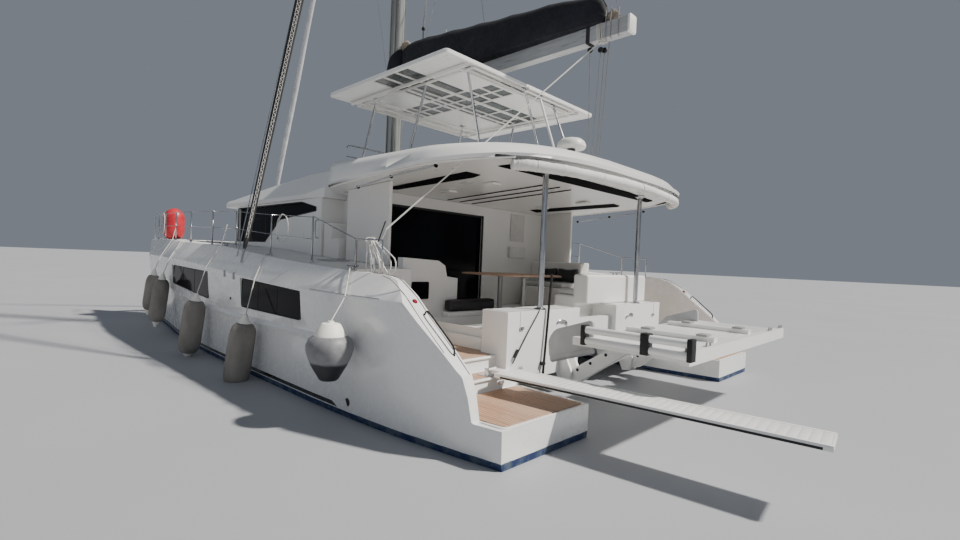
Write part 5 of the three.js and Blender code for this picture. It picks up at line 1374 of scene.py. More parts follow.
class CATAMARAN_OT_saloon_trim(bpy.types.Operator):
    """Makes the saloon's window frames and handrails, the door's frame, and a white slatted panel that
    is painted sunlight on the bulkhead
    """

    bl_idname = "catamaran.saloon_trim"
    bl_label = "Saloon trim"

    def execute(self, context):
        frames, steel, sunlight_slats = Shape(), Shape(), Shape()
        glass = rounded([
            (1.95, 2.752, 2.24), (1.95, 2.752, 3.01), (-1.2, 2.752, 3.0), (-1.78, 2.752, 2.88),
            (-1.78, 2.752, 2.81), (-0.3, 2.752, 2.69), (0.42, 2.752, 2.23)], 0.03)
        frames.tube(glass, 0.009, 6, closed=True)
        for x in (0.55, 1.25):
            frames.block((x - 0.012, 2.672, 2.24), (x + 0.012, 2.694, 3.01), 0.003)
        for handrail in (ROOF_RAIL, GRAB_RAIL):
            steel.tube(curve_points(handrail, 5), settings().handrail_radius)
        for x in (1.2, 1.9):
            steel.tube([(x, 2.0, 3.3), (x, 2.0, 3.555 - 0.115 * (x - 1.2))], 0.01)
        steel.mirrored()
        frames.mirrored()
        y0, y1 = DOORWAY_Y
        for side0, side1, foot in ((y0, y0 + 0.045, 1.06), (y1 - 0.045, y1, 1.06), (y0, y1, 2.93)):
            frames.block((-3.012, side0, foot), (-2.996, side1, 2.97), 0.004)
        frames.block((-2.975, 0.74, 1.06), (-2.955, 0.79, 2.94), 0.004)
        steel.block((-2.905, -0.41, 1.75), (-2.885, -0.38, 2.15), 0.006)
        # White slats where sunlight falls on the bulkhead: painted sunlight, drawn as a blind
        for k in range(SLATS):
            z = 3.08 - SLAT_PITCH * k
            sunlight_slats.block((-3.03, -1.84, z), (-3.003, -1.36, z + 0.034), 0.006)
        sunlight_slats.block((-3.07, -1.86, 2.11), (-3.003, -1.32, 2.36), 0.02)
        sunlight_slats.finish("bulkhead_blind", "white_canvas")
        frames.finish("window_frames", "black_plastic", slot="smoked_glass")
        steel.finish("saloon_handrails", "polished_steel")
        return {"FINISHED"}


# Outline of the flybridge's seat in plan
FLYBRIDGE_SEAT = [
    (-5.466, -1.64), (-5.466, 1.64), (-5.12, 1.64), (-5.12, -1.8), (-2.905, -1.8), (-2.905, -2.0),
    (-5.22, -1.92)]
# Middle of the white dome's base, and the level that its stand and the winches are seated on
DOME = (-5.44, -0.06, 4.03)
COAMING_TOP_Z = 3.737
# After top edge of the helm's instruments, how they slope, and the way they face
SCREEN_EDGE = Vector((-1.455, 0, 4.072))
SCREEN_SLOPE = Vector((-0.11, 0, -0.13)).normalized()
SCREEN_FACING = Vector((-0.763, 0, 0.646))


class CATAMARAN_OT_flybridge_gear(bpy.types.Operator):
    """Makes the flybridge's instruments, winches, rails and white dome"""

    bl_idname = "catamaran.flybridge_gear"
    bl_label = "Flybridge gear"

    def execute(self, context):
        seat = Shape()
        seat.plate(rounded([(x, y, 3.602) for x, y in FLYBRIDGE_SEAT], 0.03, 2), (0, 0, 0.05), 0.015)
        seat.finish("flybridge_seat_base", "moulding", replaces=("flybridge_seat",))
        rail = Shape()
        for side in (1, -1):
            loop = [(-1.8, side * 2.17, 3.735), (-1.8, side * 2.17, 4.1), (-1.8, side * 2.13, 4.14),
                    (-1.8, side * 1.33, 4.14), (-1.8, side * 1.29, 4.1), (-1.8, side * 1.29, 3.735)]
            rail.tube(rounded(loop, 0.02)[5:-5], 0.013)
            rail.tube([(-1.8, side * 2.17, 3.92), (-1.8, side * 1.94, 3.92)], 0.011)
            rail.tube([(-1.8, side * 1.94, 3.735), (-1.8, side * 1.94, 3.92)], 0.009)
        rail.finish("flybridge_rails", "polished_steel")
        dome = Shape()
        dome.turned(
            [(0, 0.19), (0.09, 0.186), (0.17, 0.165), (0.222, 0.125), (0.248, 0.075), (0.253, 0.03),
             (0.235, 0.0), (0, 0.0)], DOME, sides=32)
        dome.finish("white_dome", "white_vinyl", slot="gelcoat_white")
        dark, chrome = Shape(), Shape()
        foot = COAMING_TOP_Z - DOME[2]
        dark.turned(
            [(0, 0.004), (0.07, 0.0), (0.075, -0.04), (0.05, -0.06), (0.05, -0.25), (0.12, -0.275),
             (0.12, foot), (0, foot)], DOME, sides=20)
        for y0, y1 in ((0.32, 0.6), (0.64, 0.92), (0.96, 1.24)):
            near, far = SCREEN_EDGE + Vector((0, y0, 0)), SCREEN_EDGE + Vector((0, y1, 0))
            corners = [near, far, far + SCREEN_SLOPE * 0.14, near + SCREEN_SLOPE * 0.14]
            dark.plate(rounded(corners, 0.015, 3), SCREEN_FACING * 0.012, 0.002, 1)
        dark.block((-1.33, 1.0, 4.075), (-1.22, 1.22, 4.1), 0.01)
        for y in (1.06, 1.14):
            dark.tube([(-1.3, y, 4.09), (-1.36, y, 4.2)], 0.014)
        for y in (1.55, -0.1, -1.3):
            chrome.turned(
                [(0.085, 0.0), (0.08, 0.02), (0.058, 0.05), (0.055, 0.1), (0.068, 0.13), (0.07, 0.15),
                 (0.04, 0.16), (0.03, 0.175), (0, 0.175)], (-1.1, y, COAMING_TOP_Z), sides=28)
        dark.finish("helm_instruments", "black_leather", slot="black_canvas")
        chrome.finish("flybridge_winches", "polished_steel")
        return {"FINISHED"}


# Middle of each lift arm, and half its thickness
LIFT_ARM_Y = 0.95
LIFT_ARM_HALF = 0.07


class CATAMARAN_OT_lift_gear(bpy.types.Operator):
    """Makes the lift's tubes and end blocks, its side panels in a grey that is painted shade, its bolts,
    and black plates as painted shade in the plate's slots
    """

    bl_idname = "catamaran.lift_gear"
    bl_label = "Tender lift gear"

    def execute(self, context):
        tubes, blocks, panels = Shape(), Shape(), Shape()
        for z in (1.215, 1.085):
            tubes.tube([(-7.16, 2.0, z), (-7.9, 2.0, z)], 0.045, 20)
            tubes.tube([(-7.98, 2.0, z), (-8.42, 2.0, z)], 0.045, 20)
        for x0, x1 in ((-7.18, -7.12), (-7.99, -7.89), (-8.47, -8.41)):
            blocks.block((x0, 1.93, 1.03), (x1, 2.055, 1.275), 0.012)
        # The side panels are white moulding; their grey finish is painted shade
        outline = rounded([
            (-6.47, 1.72, 0.72), (-6.44, 1.72, 0.98), (-6.54, 1.72, 1.13), (-7.12, 1.72, 1.32),
            (-7.14, 1.72, 0.96)], 0.07, 5)
        panels.plate(outline, (0, 0.05, 0), 0.018, 3)
        panels.tube([(-6.5, 1.745, 0.72), (-7.12, 1.745, 0.93)], 0.045, 16)
        tubes.finish("lift_tubes", "gelcoat", "lift_table")
        blocks.finish("lift_end_blocks", "black_plastic", "lift_table")
        panels.mirrored().finish("lift_side_panels", "lift_paint", "lift_table")
        chocks = Shape()
        for side in (1, -1):
            for x in (-8.1, -7.35):
                y = side * 0.7
                chocks.block((x - 0.07, y - 0.09, 1.16), (x + 0.07, y + 0.09, 1.19), 0.012)
        for y in (1.9, 1.3, -1.3, -1.9):
            eye = [(y - 0.06, 1.12), (y - 0.05, 1.17), (y + 0.05, 1.17), (y + 0.06, 1.12)]
            chocks.tube(curve_points([(-8.37, across, z) for across, z in eye], 4), 0.012)
        chocks.finish("lift_chocks", "grey_plastic", "lift_table")
        bolts, slots = Shape(), Shape()
        for side in (1, -1):
            for x, z in ((-6.45, 0.47), (-6.66, 0.6), (-6.9, 0.76), (-7.05, 0.86)):
                for out in (1, -1):
                    y = side * (LIFT_ARM_Y + out * LIFT_ARM_HALF)
                    bolts.turned(
                        [(0, 0.012), (0.016, 0.01), (0.024, 0.002), (0.024, -0.004), (0, -0.004)],
                        (x, y, z), (0, side * out, 0), 12)
            # Black plates in the plate's slots: painted shade where the slots are open
            for y, z in ((0.62, 0.69), (0.2, 0.71)):
                corners = standing(-6.861, side * (y - 0.13), side * (y + 0.13), z - 0.03, z + 0.03)
                slots.plate(rounded(corners, 0.028, 5), (-0.003, 0, 0))
        bolts.finish("lift_bolts", "black_plastic", "lift_arms", slot="lift_metal")
        slots.finish("lift_plate_slots", "black_plastic", "lift_arms")
        return {"FINISHED"}


# The gangway's hinge in plan, and the way it points
GANGWAY_PIVOT = Vector((-6.201, 2.62, 0))
GANGWAY_HEADING = math.radians(185.15)
# Ribs across the gangway: their number, the distance over which they are spread, and their width
RIBS = 42
RIB_RUN = 3.238
RIB_WIDTH = 0.0745


def on_gangway(x, y, z):
    """A point given along and across the gangway, in the boat's frame."""
    c, s = math.cos(GANGWAY_HEADING), math.sin(GANGWAY_HEADING)
    return GANGWAY_PIVOT + Vector((c * x - s * y, s * x + c * y, z))


def slab(shape, x0, x1, y0, y1, z0, z1, bevel):
    """A rounded board laid along the gangway."""
    corners = [on_gangway(*corner) for corner in lying(x0, x1, y0, y1, z0)]
    shape.plate(corners, (0, 0, z1 - z0), bevel)


class CATAMARAN_OT_gangway(bpy.types.Operator):
    """Makes the gangway with its ribbed deck, side rails, edge strips and tongue"""

    bl_idname = "catamaran.gangway"
    bl_label = "Gangway"

    def execute(self, context):
        deck, rails, dark = Shape(), Shape(), Shape()
        slab(deck, 0.225, 3.56, -0.19, 0.19, 0.612, 0.645, 0.003)
        for k in range(RIBS):
            x = 0.238 + RIB_RUN * k / (RIBS - 1)
            slab(deck, x, x + RIB_WIDTH, -0.185, 0.185, 0.644, 0.6515, 0.002)
        for side in (1, -1):
            y = side * 0.206
            slab(rails, 0.222, 3.562, y - 0.019, y + 0.019, 0.601, 0.655, 0.007)
            edge = y + side * 0.0195
            slab(dark, 0.3, 3.5, edge - 0.003, edge + 0.003, 0.606, 0.628, 0.001)
        slab(rails, 0.205, 0.235, -0.222, 0.222, 0.603, 0.653, 0.006)
        slab(rails, 3.548, 3.572, -0.222, 0.222, 0.603, 0.653, 0.006)
        slab(rails, 0.03, 0.225, -0.08, 0.08, 0.605, 0.65, 0.008)
        rails.tube([on_gangway(0, -0.078, 0.628), on_gangway(0, 0.078, 0.628)], 0.026, 16)
        deck.finish("gangway_deck", "gelcoat", "gangway", replaces=("gangway",))
        rails.finish("gangway_rails", "gelcoat", "gangway")
        dark.finish("gangway_edge_strips", "black_plastic", "gangway")
        return {"FINISHED"}


# Fenders: x, bottom, top, radius, lean, and the place where the line is made fast
FENDERS = [
    (3.55, 0.38, 1.48, 0.15, 0.05, (3.7, 3.58, 2.58)),
    (2.5, 0.22, 1.43, 0.165, 0.055, (2.75, 3.62, 2.2)),
    (-0.12, -0.07, 1.18, 0.19, 0.06, (0.06, 3.66, 2.5)),
    (-2.46, -0.2, 1.03, 0.195, 0.06, (-1.95, 3.68, 1.98)),
]
# Foot and radius of the ball fender, and its line from eye to hitch
BALL_FOOT = Vector((-5.18, 0, 0.54))
BALL_RADIUS = 0.3
BALL_LINE = [(-5.05, 4.08, 1.47), (-5.02, 4.04, 1.535), (-4.66, 3.77, 1.83), (-4.45, 3.62, 1.86)]
# The red buoy's middle, and its grab loop as x, y and height above the buoy's foot
BUOY_X, BUOY_Y = 5.65, 3.12
BUOY_LOOP = [
    (5.6, 3.38, 0.16), (5.5, 3.4, 0.3), (5.52, 3.39, 0.62), (5.65, 3.392, 0.72), (5.78, 3.39, 0.62),
    (5.8, 3.4, 0.3), (5.7, 3.38, 0.16)]


def lanyard(shape, eye, wire):
    """A rope from a fender's eye over the hull's edge to its hitch on a wire or post."""
    knee = on_line(KNEE, eye.x + 0.25 * (wire.x - eye.x))
    edge = on_line(EDGE, eye.x + 0.9 * (wire.x - eye.x))
    path = [eye, knee + Vector((0, 0.02, 0.012)), edge + Vector((0, 0.012, 0.022)),
            wire - Vector((0, 0, 0.012))]
    shape.tube(path, settings().lanyard_radius, 8)
    hitch = [
        wire + Vector((0.012 * (k - 3) / 3, 0.014 * math.cos(k * 2.1), 0.014 * math.sin(k * 2.1)))
        for k in range(7)]
    shape.tube(curve_points(hitch, 3), 0.006, 6)
    tail = [wire + Vector((0.015, 0.01, -0.01)), wire + Vector((0.02, 0.02, -0.12)),
            wire + Vector((0.012, 0.018, -0.26))]
    shape.tube(curve_points(tail, 4), 0.006, 6)


class CATAMARAN_OT_fenders(bpy.types.Operator):
    """Makes the sleeved fenders, the ball fender and the red buoy, with their eyes and lanyards"""

    bl_idname = "catamaran.fenders"
    bl_label = "Fenders and buoy"

    def execute(self, context):
        for number, (x, bottom, top, radius, lean, hitch) in enumerate(FENDERS, 1):
            y = on_line(KNEE, x).y + radius + 0.005
            height = top - bottom
            body, eyes, line = Shape(), Shape(), Shape()
            foot, head = Vector((x + lean, y + 0.09, bottom)), Vector((x - lean, y - 0.005, top))
            along = head - foot
            end = [
                (0, 0.125), (radius * 0.45, 0.127), (radius * 0.68, 0.145), (radius * 0.87, 0.2),
                (radius * 0.96, 0.27), (radius * 0.985, 0.36)]
            far_end = [(wide, height - reach) for wide, reach in reversed(end)]
            body.turned([*end, (radius * 0.985, height * 0.5), *far_end], foot, along, 32)
            # The eyes' finish is paler than white vinyl, as painted sunlight
            cone = [(0.0, 0.0), (0.03, 0.004), (0.036, 0.03), (0.055, 0.07), (radius * 0.46, 0.125),
                    (radius * 0.5, 0.138), (0, 0.145)]
            eyes.turned(cone, foot, along)
            eyes.turned(cone, head, -along)
            lanyard(line, head - 0.02 * along.normalized(), Vector(hitch))
            node = f"fender_{number}"
            body.finish(f"{node}_sleeve", "fender_sleeve", replaces=(node,))
            eyes.finish(f"{node}_eyes", "clean_vinyl")
            line.finish(f"{node}_lanyard", "white_rope")
        foot = BALL_FOOT + Vector((0, on_line(KNEE, BALL_FOOT.x).y + BALL_RADIUS + 0.005, 0))
        ball, cone, line = Shape(), Shape(), Shape()
        ball.turned(
            [(0, 0.0), (0.095, 0.002), (0.112, 0.015), (0.15, 0.08), (0.208, 0.18), (0.252, 0.28),
             (0.272, 0.36), (0.27, 0.42), (0.245, 0.48), (0.195, 0.52), (0, 0.525)], foot, sides=40)
        cone.turned(
            [(0, 0.505), (0.19, 0.512), (0.182, 0.54), (0.115, 0.65), (0.1, 0.663), (0.04, 0.67),
             (0.035, 0.69), (0, 0.69)], foot, sides=28)
        line.tube(curve_points([foot + UP * 0.68, *BALL_LINE], 6), 0.0075, 8)
        ball.finish("ball_fender_body", "ball_skin", replaces=("ball_fender",))
        cone.finish("ball_fender_eye", "clean_vinyl")
        line.finish("ball_fender_lanyard", "white_rope")
        buoy, loop = Shape(), Shape()
        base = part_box("bow_buoy")[0].z
        buoy.turned(
            [(0, 0), (0.12, 0.0), (0.2, 0.05), (0.245, 0.14), (0.26, 0.28), (0.26, 0.58), (0.235, 0.71),
             (0.18, 0.8), (0.1, 0.855), (0.06, 0.87), (0.045, 0.878), (0, 0.88)],
            (BUOY_X, BUOY_Y, base), sides=36)
        loop.tube(curve_points([(x, y, base + height) for x, y, height in BUOY_LOOP], 5), 0.012, 8)
        buoy.finish("red_buoy", "red_vinyl", replaces=("bow_buoy",))
        loop.finish("buoy_grab_loop", "white_rope")
        return {"FINISHED"}


# Hank of rope on the port after rail: its head, then each fold's lower bend in x, z and radius
HANK_ROPE = 0.016
HANK_HEAD = Vector((-4.82, 0, 2.19))
HANK_HEAD_RADIUS = 0.05
HANK_OUTER_Y = 3.5915
HANK_PITCH = 0.0165
HANK_FOLDS = [
    (-4.86, 1.875, 0.095), (-5.02, 1.885, 0.105), (-4.93, 1.88, 0.1), (-5.13, 1.9, 0.115),
    (-5.21, 1.905, 0.115),
]
# Coil of light line on the port guard wire
COIL_LINE = 0.01
COIL_PITCH = 0.0105
COIL_TURNS = 2.25
# Ties round the hank and the rail, and round the coil and the wire: x, then y and z of the points
HANK_TIE = (-4.82, [
    (3.497, 2.25), (3.55, 2.254), (3.61, 2.25), (3.652, 2.226), (3.664, 2.21), (3.652, 2.195),
    (3.61, 2.222), (3.55, 2.227), (3.497, 2.23)])
COIL_TIE = (-2.33, [
    (3.608, 2.634), (3.63, 2.643), (3.652, 2.634), (3.66, 2.619), (3.65, 2.611), (3.63, 2.622),
    (3.612, 2.625)])


def bend(centre, radius, start, end, y0, y1, steps=14):
    """Points of an arc that runs upright, fore and aft, and drifts across from y0 to y1."""
    points = []
    for k in range(steps + 1):
        angle = start + (end - start) * k / steps
        points.append(Vector((
            centre.x + radius * math.cos(angle), y0 + (y1 - y0) * k / steps,
            centre.z + radius * math.sin(angle))))
    return points


def joined(pieces, gap=0.04):
    """One line through arcs and points, with more points along its straight runs."""
    path = [pieces[0][0]]
    for point in (point for piece in pieces for point in piece):
        reach = (point - path[-1]).length
        if reach > 1e-4:
            count = max(1, round(reach / gap))
            start = path[-1]
            path += [start.lerp(point, k / count) for k in range(1, count + 1)]
    return path


def hank_path():
    """The hank's rope: off the rail, five folds one behind the other, and a hanging end."""
    half = HANK_PITCH / 2
    y = HANK_OUTER_Y
    pieces = [[
        Vector((-4.99, 3.634, 2.226)), Vector((-4.94, 3.628, 2.234)), Vector((-4.88, 3.613, 2.2395))]]
    for x, z, radius in HANK_FOLDS:
        fold = Vector((x, 0, z))
        reach = fold - HANK_HEAD
        heading = math.atan2(reach.z, reach.x)
        spread = math.acos((HANK_HEAD_RADIUS - radius) / reach.length)
        pieces += [
            bend(HANK_HEAD, HANK_HEAD_RADIUS, math.pi / 2, heading + spread, y + half, y),
            bend(fold, radius, heading + spread, heading - spread, y, y),
            bend(HANK_HEAD, HANK_HEAD_RADIUS, heading - spread, -1.5 * math.pi, y, y - half)]
        y -= HANK_PITCH
    side = HANK_HEAD.x + HANK_HEAD_RADIUS
    pieces += [
        bend(HANK_HEAD, HANK_HEAD_RADIUS, math.pi / 2, 0, y + half, y),
        [Vector((side + 0.004, y, 2.08)), Vector((side + 0.002, y, 1.97)),
         Vector((side - 0.006, y, 1.86))]]
    return joined(pieces)


def coil_path():
    """The coil's line: off the guard wire, round its turns, and a short hanging end."""
    path = [Vector((-2.42, 3.645, 2.628)), Vector((-2.375, 3.6425, 2.632))]
    for k in range(1 + round(28 * COIL_TURNS)):
        turn = k / 28
        angle = math.pi / 2 - 2 * math.pi * turn
        wide = 0.203 * (1 + 0.03 * math.sin(1.9 * turn))
        path.append(Vector((
            -2.33 + wide * math.cos(angle), 3.6405 - COIL_PITCH * turn,
            2.408 + 0.225 * math.sin(angle))))
    foot = path[-1]
    return path + [foot + Vector((0.002 * k, 0, -0.045 * k)) for k in (1, 2, 3, 4)]


class CATAMARAN_OT_hung_ropes(bpy.types.Operator):
    """Hangs the hank of rope on the port after rail and the coil of line on the guard wire"""

    bl_idname = "catamaran.hung_ropes"
    bl_label = "Hung ropes"

    def execute(self, context):
        for node, path, size, finish, (x, band) in (
                ("rail_hank", hank_path(), HANK_ROPE, "speckled_rope", HANK_TIE),
                ("wire_coil", coil_path(), COIL_LINE, "white_rope", COIL_TIE)):
            strand, tie, whipping = Shape(), Shape(), Shape()
            strand.tube(path, size / 2, 10)
            for shift in (-0.005, 0.005):
                tie.tube([(x + shift, y, z) for y, z in band], 0.0035, 6, closed=True)
            end = path[-1]
            back = (path[-2] - end).normalized()
            whipping.tube([end - back * 0.003, end + back * 0.03], size * 0.56, 10)
            line = strand.finish(node + "_rope", finish, replaces=(node,))
            knot = tie.finish(node + "_tie", "white_rope")
            cap = whipping.finish(node + "_whipping", "black_canvas", slot="net_cord")
        return {"FINISHED"}


# Outline of the port net in plan, and how far apart its lacing is
NET = [(4.72, 0.13), (6.79, 0.13), (6.79, 3.03), (6.2, 2.91), (5.02, 2.64), (4.72, 2.18)]
NET_LACING_PITCH = 0.16


class CATAMARAN_OT_nets(bpy.types.Operator):
    """Stretches the two nets forward, each laced inside a bolt rope"""

    bl_idname = "catamaran.nets"
    bl_label = "Nets"

    def execute(self, context):
        for side, name in ((1, "port"), (-1, "starboard")):
            points = [Vector((x, side * y, 2.012)) for x, y in NET]
            net, lacing = Shape(), Shape()
            net.plate(points, (0, 0, -0.004))
            lacing.tube(rounded(points, 0.05), 0.012, 6, closed=True)
            for start, end in zip(points, points[1:] + points[:1]):
                count = max(2, round((end - start).length / NET_LACING_PITCH))
                outward = (end - start).normalized().cross(Vector((0, 0, side)))
                for k in range(count):
                    middle = start.lerp(end, (k + 0.5) / count)
                    lacing.tube([middle - outward * 0.012, middle + outward * 0.05], 0.004, 4)
            sheet = net.finish(f"{name}_trampoline", "trampoline", replaces=(f"{name}_net",))
            edge = lacing.finish(f"{name}_net_lacing", "white_rope")
        return {"FINISHED"}


# Wires from the spreaders to the mast: abaft the mast's middle, out to the side, and up
DIAMOND_STAYS = [
    ((0.33, 1.23, 9.84), (0.15, 0.14, 5.2)), ((0.36, 1.25, 9.8), (0.35, 1.04, 15.4)),
    ((0.35, 1.04, 15.4), (0.16, 0.12, 21.5)),
]
# Parts of the mainsheet: upper and lower end
MAINSHEET = [
    ((-5.77, 0.0, 5.62), (-5.83, 0.0, 3.62)), ((-5.99, 0.03, 5.56), (-5.9, 0.03, 3.62)),
    ((-6.03, -0.03, 5.56), (-5.96, -0.03, 3.62)), ((-6.13, 0.0, 5.7), (-6.03, 0.0, 3.62)),
]
PREVENTER_FOOT, PREVENTER_HEAD = (-5.15, 3.645, 2.19), (-5.98, 0.05, 5.7)
PREVENTER_BEND = (-5.24, 3.63, 2.35)
# Block on the sail cover through which the lazy jacks run
JACK_BLOCK = (-1.28, 0, 7.3)
# A band round the boom, as y and z
BOOM_BAND = [
    (0.096, 5.74), (0.096, 5.975), (0.085, 5.992), (-0.085, 5.992), (-0.096, 5.975), (-0.096, 5.74),
    (-0.085, 5.722), (0.085, 5.722),
]


class CATAMARAN_OT_running_rigging(bpy.types.Operator):
    """Makes the mainsheet, preventer, halyards, topping lift and the blocks they run through"""

    bl_idname = "catamaran.running_rigging"
    bl_label = "Running rigging"

    def execute(self, context):
        lines, halyards = Shape(), Shape()
        for side in (1, -1):
            for (x0, y0, z0), (x1, y1, z1) in DIAMOND_STAYS:
                lines.tube([(MAST_X - x0, side * y0, z0), (MAST_X - x1, side * y1, z1)], 0.006, 6)
            for x, y in ((0.12, 0.122), (0.09, 0.134), (-0.1, 0.131), (-0.16, 0.1)):
                halyards.tube([(MAST_X + x, side * y, 4.1), (MAST_X + x, side * y, 24.2)], 0.008, 6)
        lines.finish("standing_lines", "polished_steel")
        halyards.finish("halyards", "dark_rope")

        sheet = Shape()
        for high, low in MAINSHEET:
            sheet.tube([low, high], settings().mainsheet_radius, 6)
        sheet.finish("mainsheet", "dark_rope", ("vessel", "boom", MAINSHEET[0][1], MAINSHEET[0][0]))
        lift = Shape()
        lift_foot, lift_head = (-6.33, 0, 5.985), (MAST_X - 0.45, 0, 24.46)
        lift.tube([lift_foot, lift_head], 0.006, 6)
        lift.finish("topping_lift", "dark_rope", ("vessel", "boom", lift_head, lift_foot))
        jacks = Shape()
        jack_head = (MAST_X - 0.2, -0.8, 9.84)
        for gap in (-0.02, 0.02):
            ends = [Vector(JACK_BLOCK) + Vector((gap, 0, 0)), Vector(jack_head) + Vector((0, gap, 0))]
            jacks.tube(ends, 0.006, 6)
        jacks.finish("lazy_jacks", "dark_rope", ("vessel", "boom", jack_head, JACK_BLOCK))
        preventer = Shape()
        preventer.tube([PREVENTER_FOOT, PREVENTER_BEND, PREVENTER_HEAD], 0.01, 8)
        run = ("vessel", "boom", PREVENTER_FOOT, PREVENTER_HEAD)
        preventer.finish("preventer", "white_rope", run)
        strop = Shape()
        strop.tube([(-5.11, 3.655, 2.19), (-5.23, 3.64, 2.45)], 0.008, 8)
        strop.finish("preventer_strop", "black_canvas", run, slot="net_cord")

        high_blocks, low_blocks, bands, wraps = Shape(), Shape(), Shape(), Shape()
        cheek = [(0, -0.022), (0.04, -0.022), (0.046, -0.012), (0.046, 0.012), (0.04, 0.022), (0, 0.022)]
        for high, low in MAINSHEET[:3]:
            high_blocks.turned(cheek, Vector(high) + Vector((0, 0, 0.02)), (0, 1, 0), 18)
            low_blocks.turned(cheek, Vector(low) + Vector((0, 0, 0.03)), (0, 1, 0), 18)
        high_blocks.turned(cheek, JACK_BLOCK, (0, 1, 0), 18)
        high_blocks.tube([(-1.28, 0, 7.24), (-1.28, 0, 7.08)], 0.012, 8)
        for x, wide in ((-5.77, 0.035), (-6.0, 0.018)):
            bands.plate([(x - wide, y, z) for y, z in BOOM_BAND], (2 * wide, 0, 0))
        for x in (-5.95, -5.975, -6.0, -6.03):
            wraps.tube([(x + 0.1 * (z - 5.8), y, z) for y, z in BOOM_BAND], 0.009, 6, closed=True)
        high_blocks.finish("boom_blocks", "black_plastic", "boom")
        low_blocks.finish("deck_blocks", "black_plastic")
        bands.finish("boom_straps", "black_canvas", "boom")
        wraps.finish("boom_lashing", "white_rope", "boom")
        cap = Shape()
        cap.plate(rounded(standing(-6.5, -0.11, 0.11, 5.715, 6.0), 0.04), (-0.04, 0, 0), 0.01)
        cap.finish("boom_end_cap", "white_vinyl", "boom", slot="gelcoat_white")
        return {"FINISHED"}


# Stanchions of the guard rails
STANCHION_X = [-3.4, -1.95, -0.4, 0.9, 2.3, 3.7, 5.1, 6.3]
# Hatches in the port hull's deck: middle, half length and half width
DECK_HATCHES = [
    (3.1, 2.95, 0.26, 0.26), (4.35, 2.9, 0.2, 0.2), (-2.9, 3.0, 0.2, 0.2), (5.45, 3.1, 0.16, 0.13)]
QUARTERS = [(1, 1), (-1, 1), (-1, -1), (1, -1)]


class CATAMARAN_OT_deck_gear(bpy.types.Operator):
    """Makes the hatches, cleats, stanchion bases, windlass and anchor roller"""

    bl_idname = "catamaran.deck_gear"
    bl_label = "Deck gear"

    def execute(self, context):
        steel, glass, frames = Shape(), Shape(), Shape()
        for side in (1, -1):
            for x, y in ((-4.45, 3.6), (0.25, 3.6), (6.55, 3.2)):
                base = deck_point(x, y)
                for offset in (-0.045, 0.045):
                    steel.turned(
                        [(0.03, -0.004), (0.016, 0.01), (0.013, 0.04), (0, 0.045)],
                        (base.x + offset, side * base.y, base.z), sides=12)
                steel.tube(curve_points([
                    (x - 0.15, side * y, base.z + 0.052), (x - 0.06, side * y, base.z + 0.045),
                    (x + 0.06, side * y, base.z + 0.045), (x + 0.15, side * y, base.z + 0.052)], 4),
                    [0.006] + [0.013] * 11 + [0.006], 8)
            for x in STANCHION_X:
                base = deck_point(x, min(3.65, on_line(EDGE, x).y - 0.06), -0.002)
                foot = settings().stanchion_base
                steel.turned(
                    [(foot, -0.004), (foot, 0.006), (0.022, 0.012), (0.02, 0.05), (0.0145, 0.052)],
                    (base.x, side * base.y, base.z), sides=16)
            for x, y, long, wide in DECK_HATCHES:
                places = [(x + a * long, y + b * wide) for a, b in QUARTERS]
                corners = [deck_point(*place, 0.002) * Vector((1, side, 1)) for place in places]
                frames.tube(rounded(corners, 0.06), 0.014, 8, closed=True)
                glass.plate(rounded(corners, 0.06), (0, 0, 0.012), 0.003, 1)
        for y in (1.2, -1.2):
            corners = [(1.1 + a * 0.28, y + b * 0.28, 3.38 - 0.125 * a * 0.28) for a, b in QUARTERS]
            frames.tube(rounded(corners, 0.07), 0.016, 8, closed=True)
            glass.plate(rounded(corners, 0.07), (0, 0, 0.014), 0.003, 1)
        steel.turned(
            [(0.11, 0.0), (0.11, 0.03), (0.07, 0.045), (0.06, 0.14), (0.085, 0.16), (0.085, 0.18),
             (0, 0.19)], (5.05, 0, 2.038), sides=28)
        steel.tube([(5.2, 0.0, 2.05), (6.8, 0.0, 2.05)], 0.008, 6)
        steel.finish("deck_fittings", "polished_steel")
        frames.finish("hatch_frames", "anodised")
        glass.finish("hatch_glass", "smoked_glass")
        return {"FINISHED"}


# The photographer's eye: place in metres, heading, pitch and roll in degrees, lens in millimetres
CAMERA_PLACE = (-10.439, 7.328, 1.993)
CAMERA_ANGLES = (-46.195, -0.953, 2.415)
CAMERA_LENS = 18.77


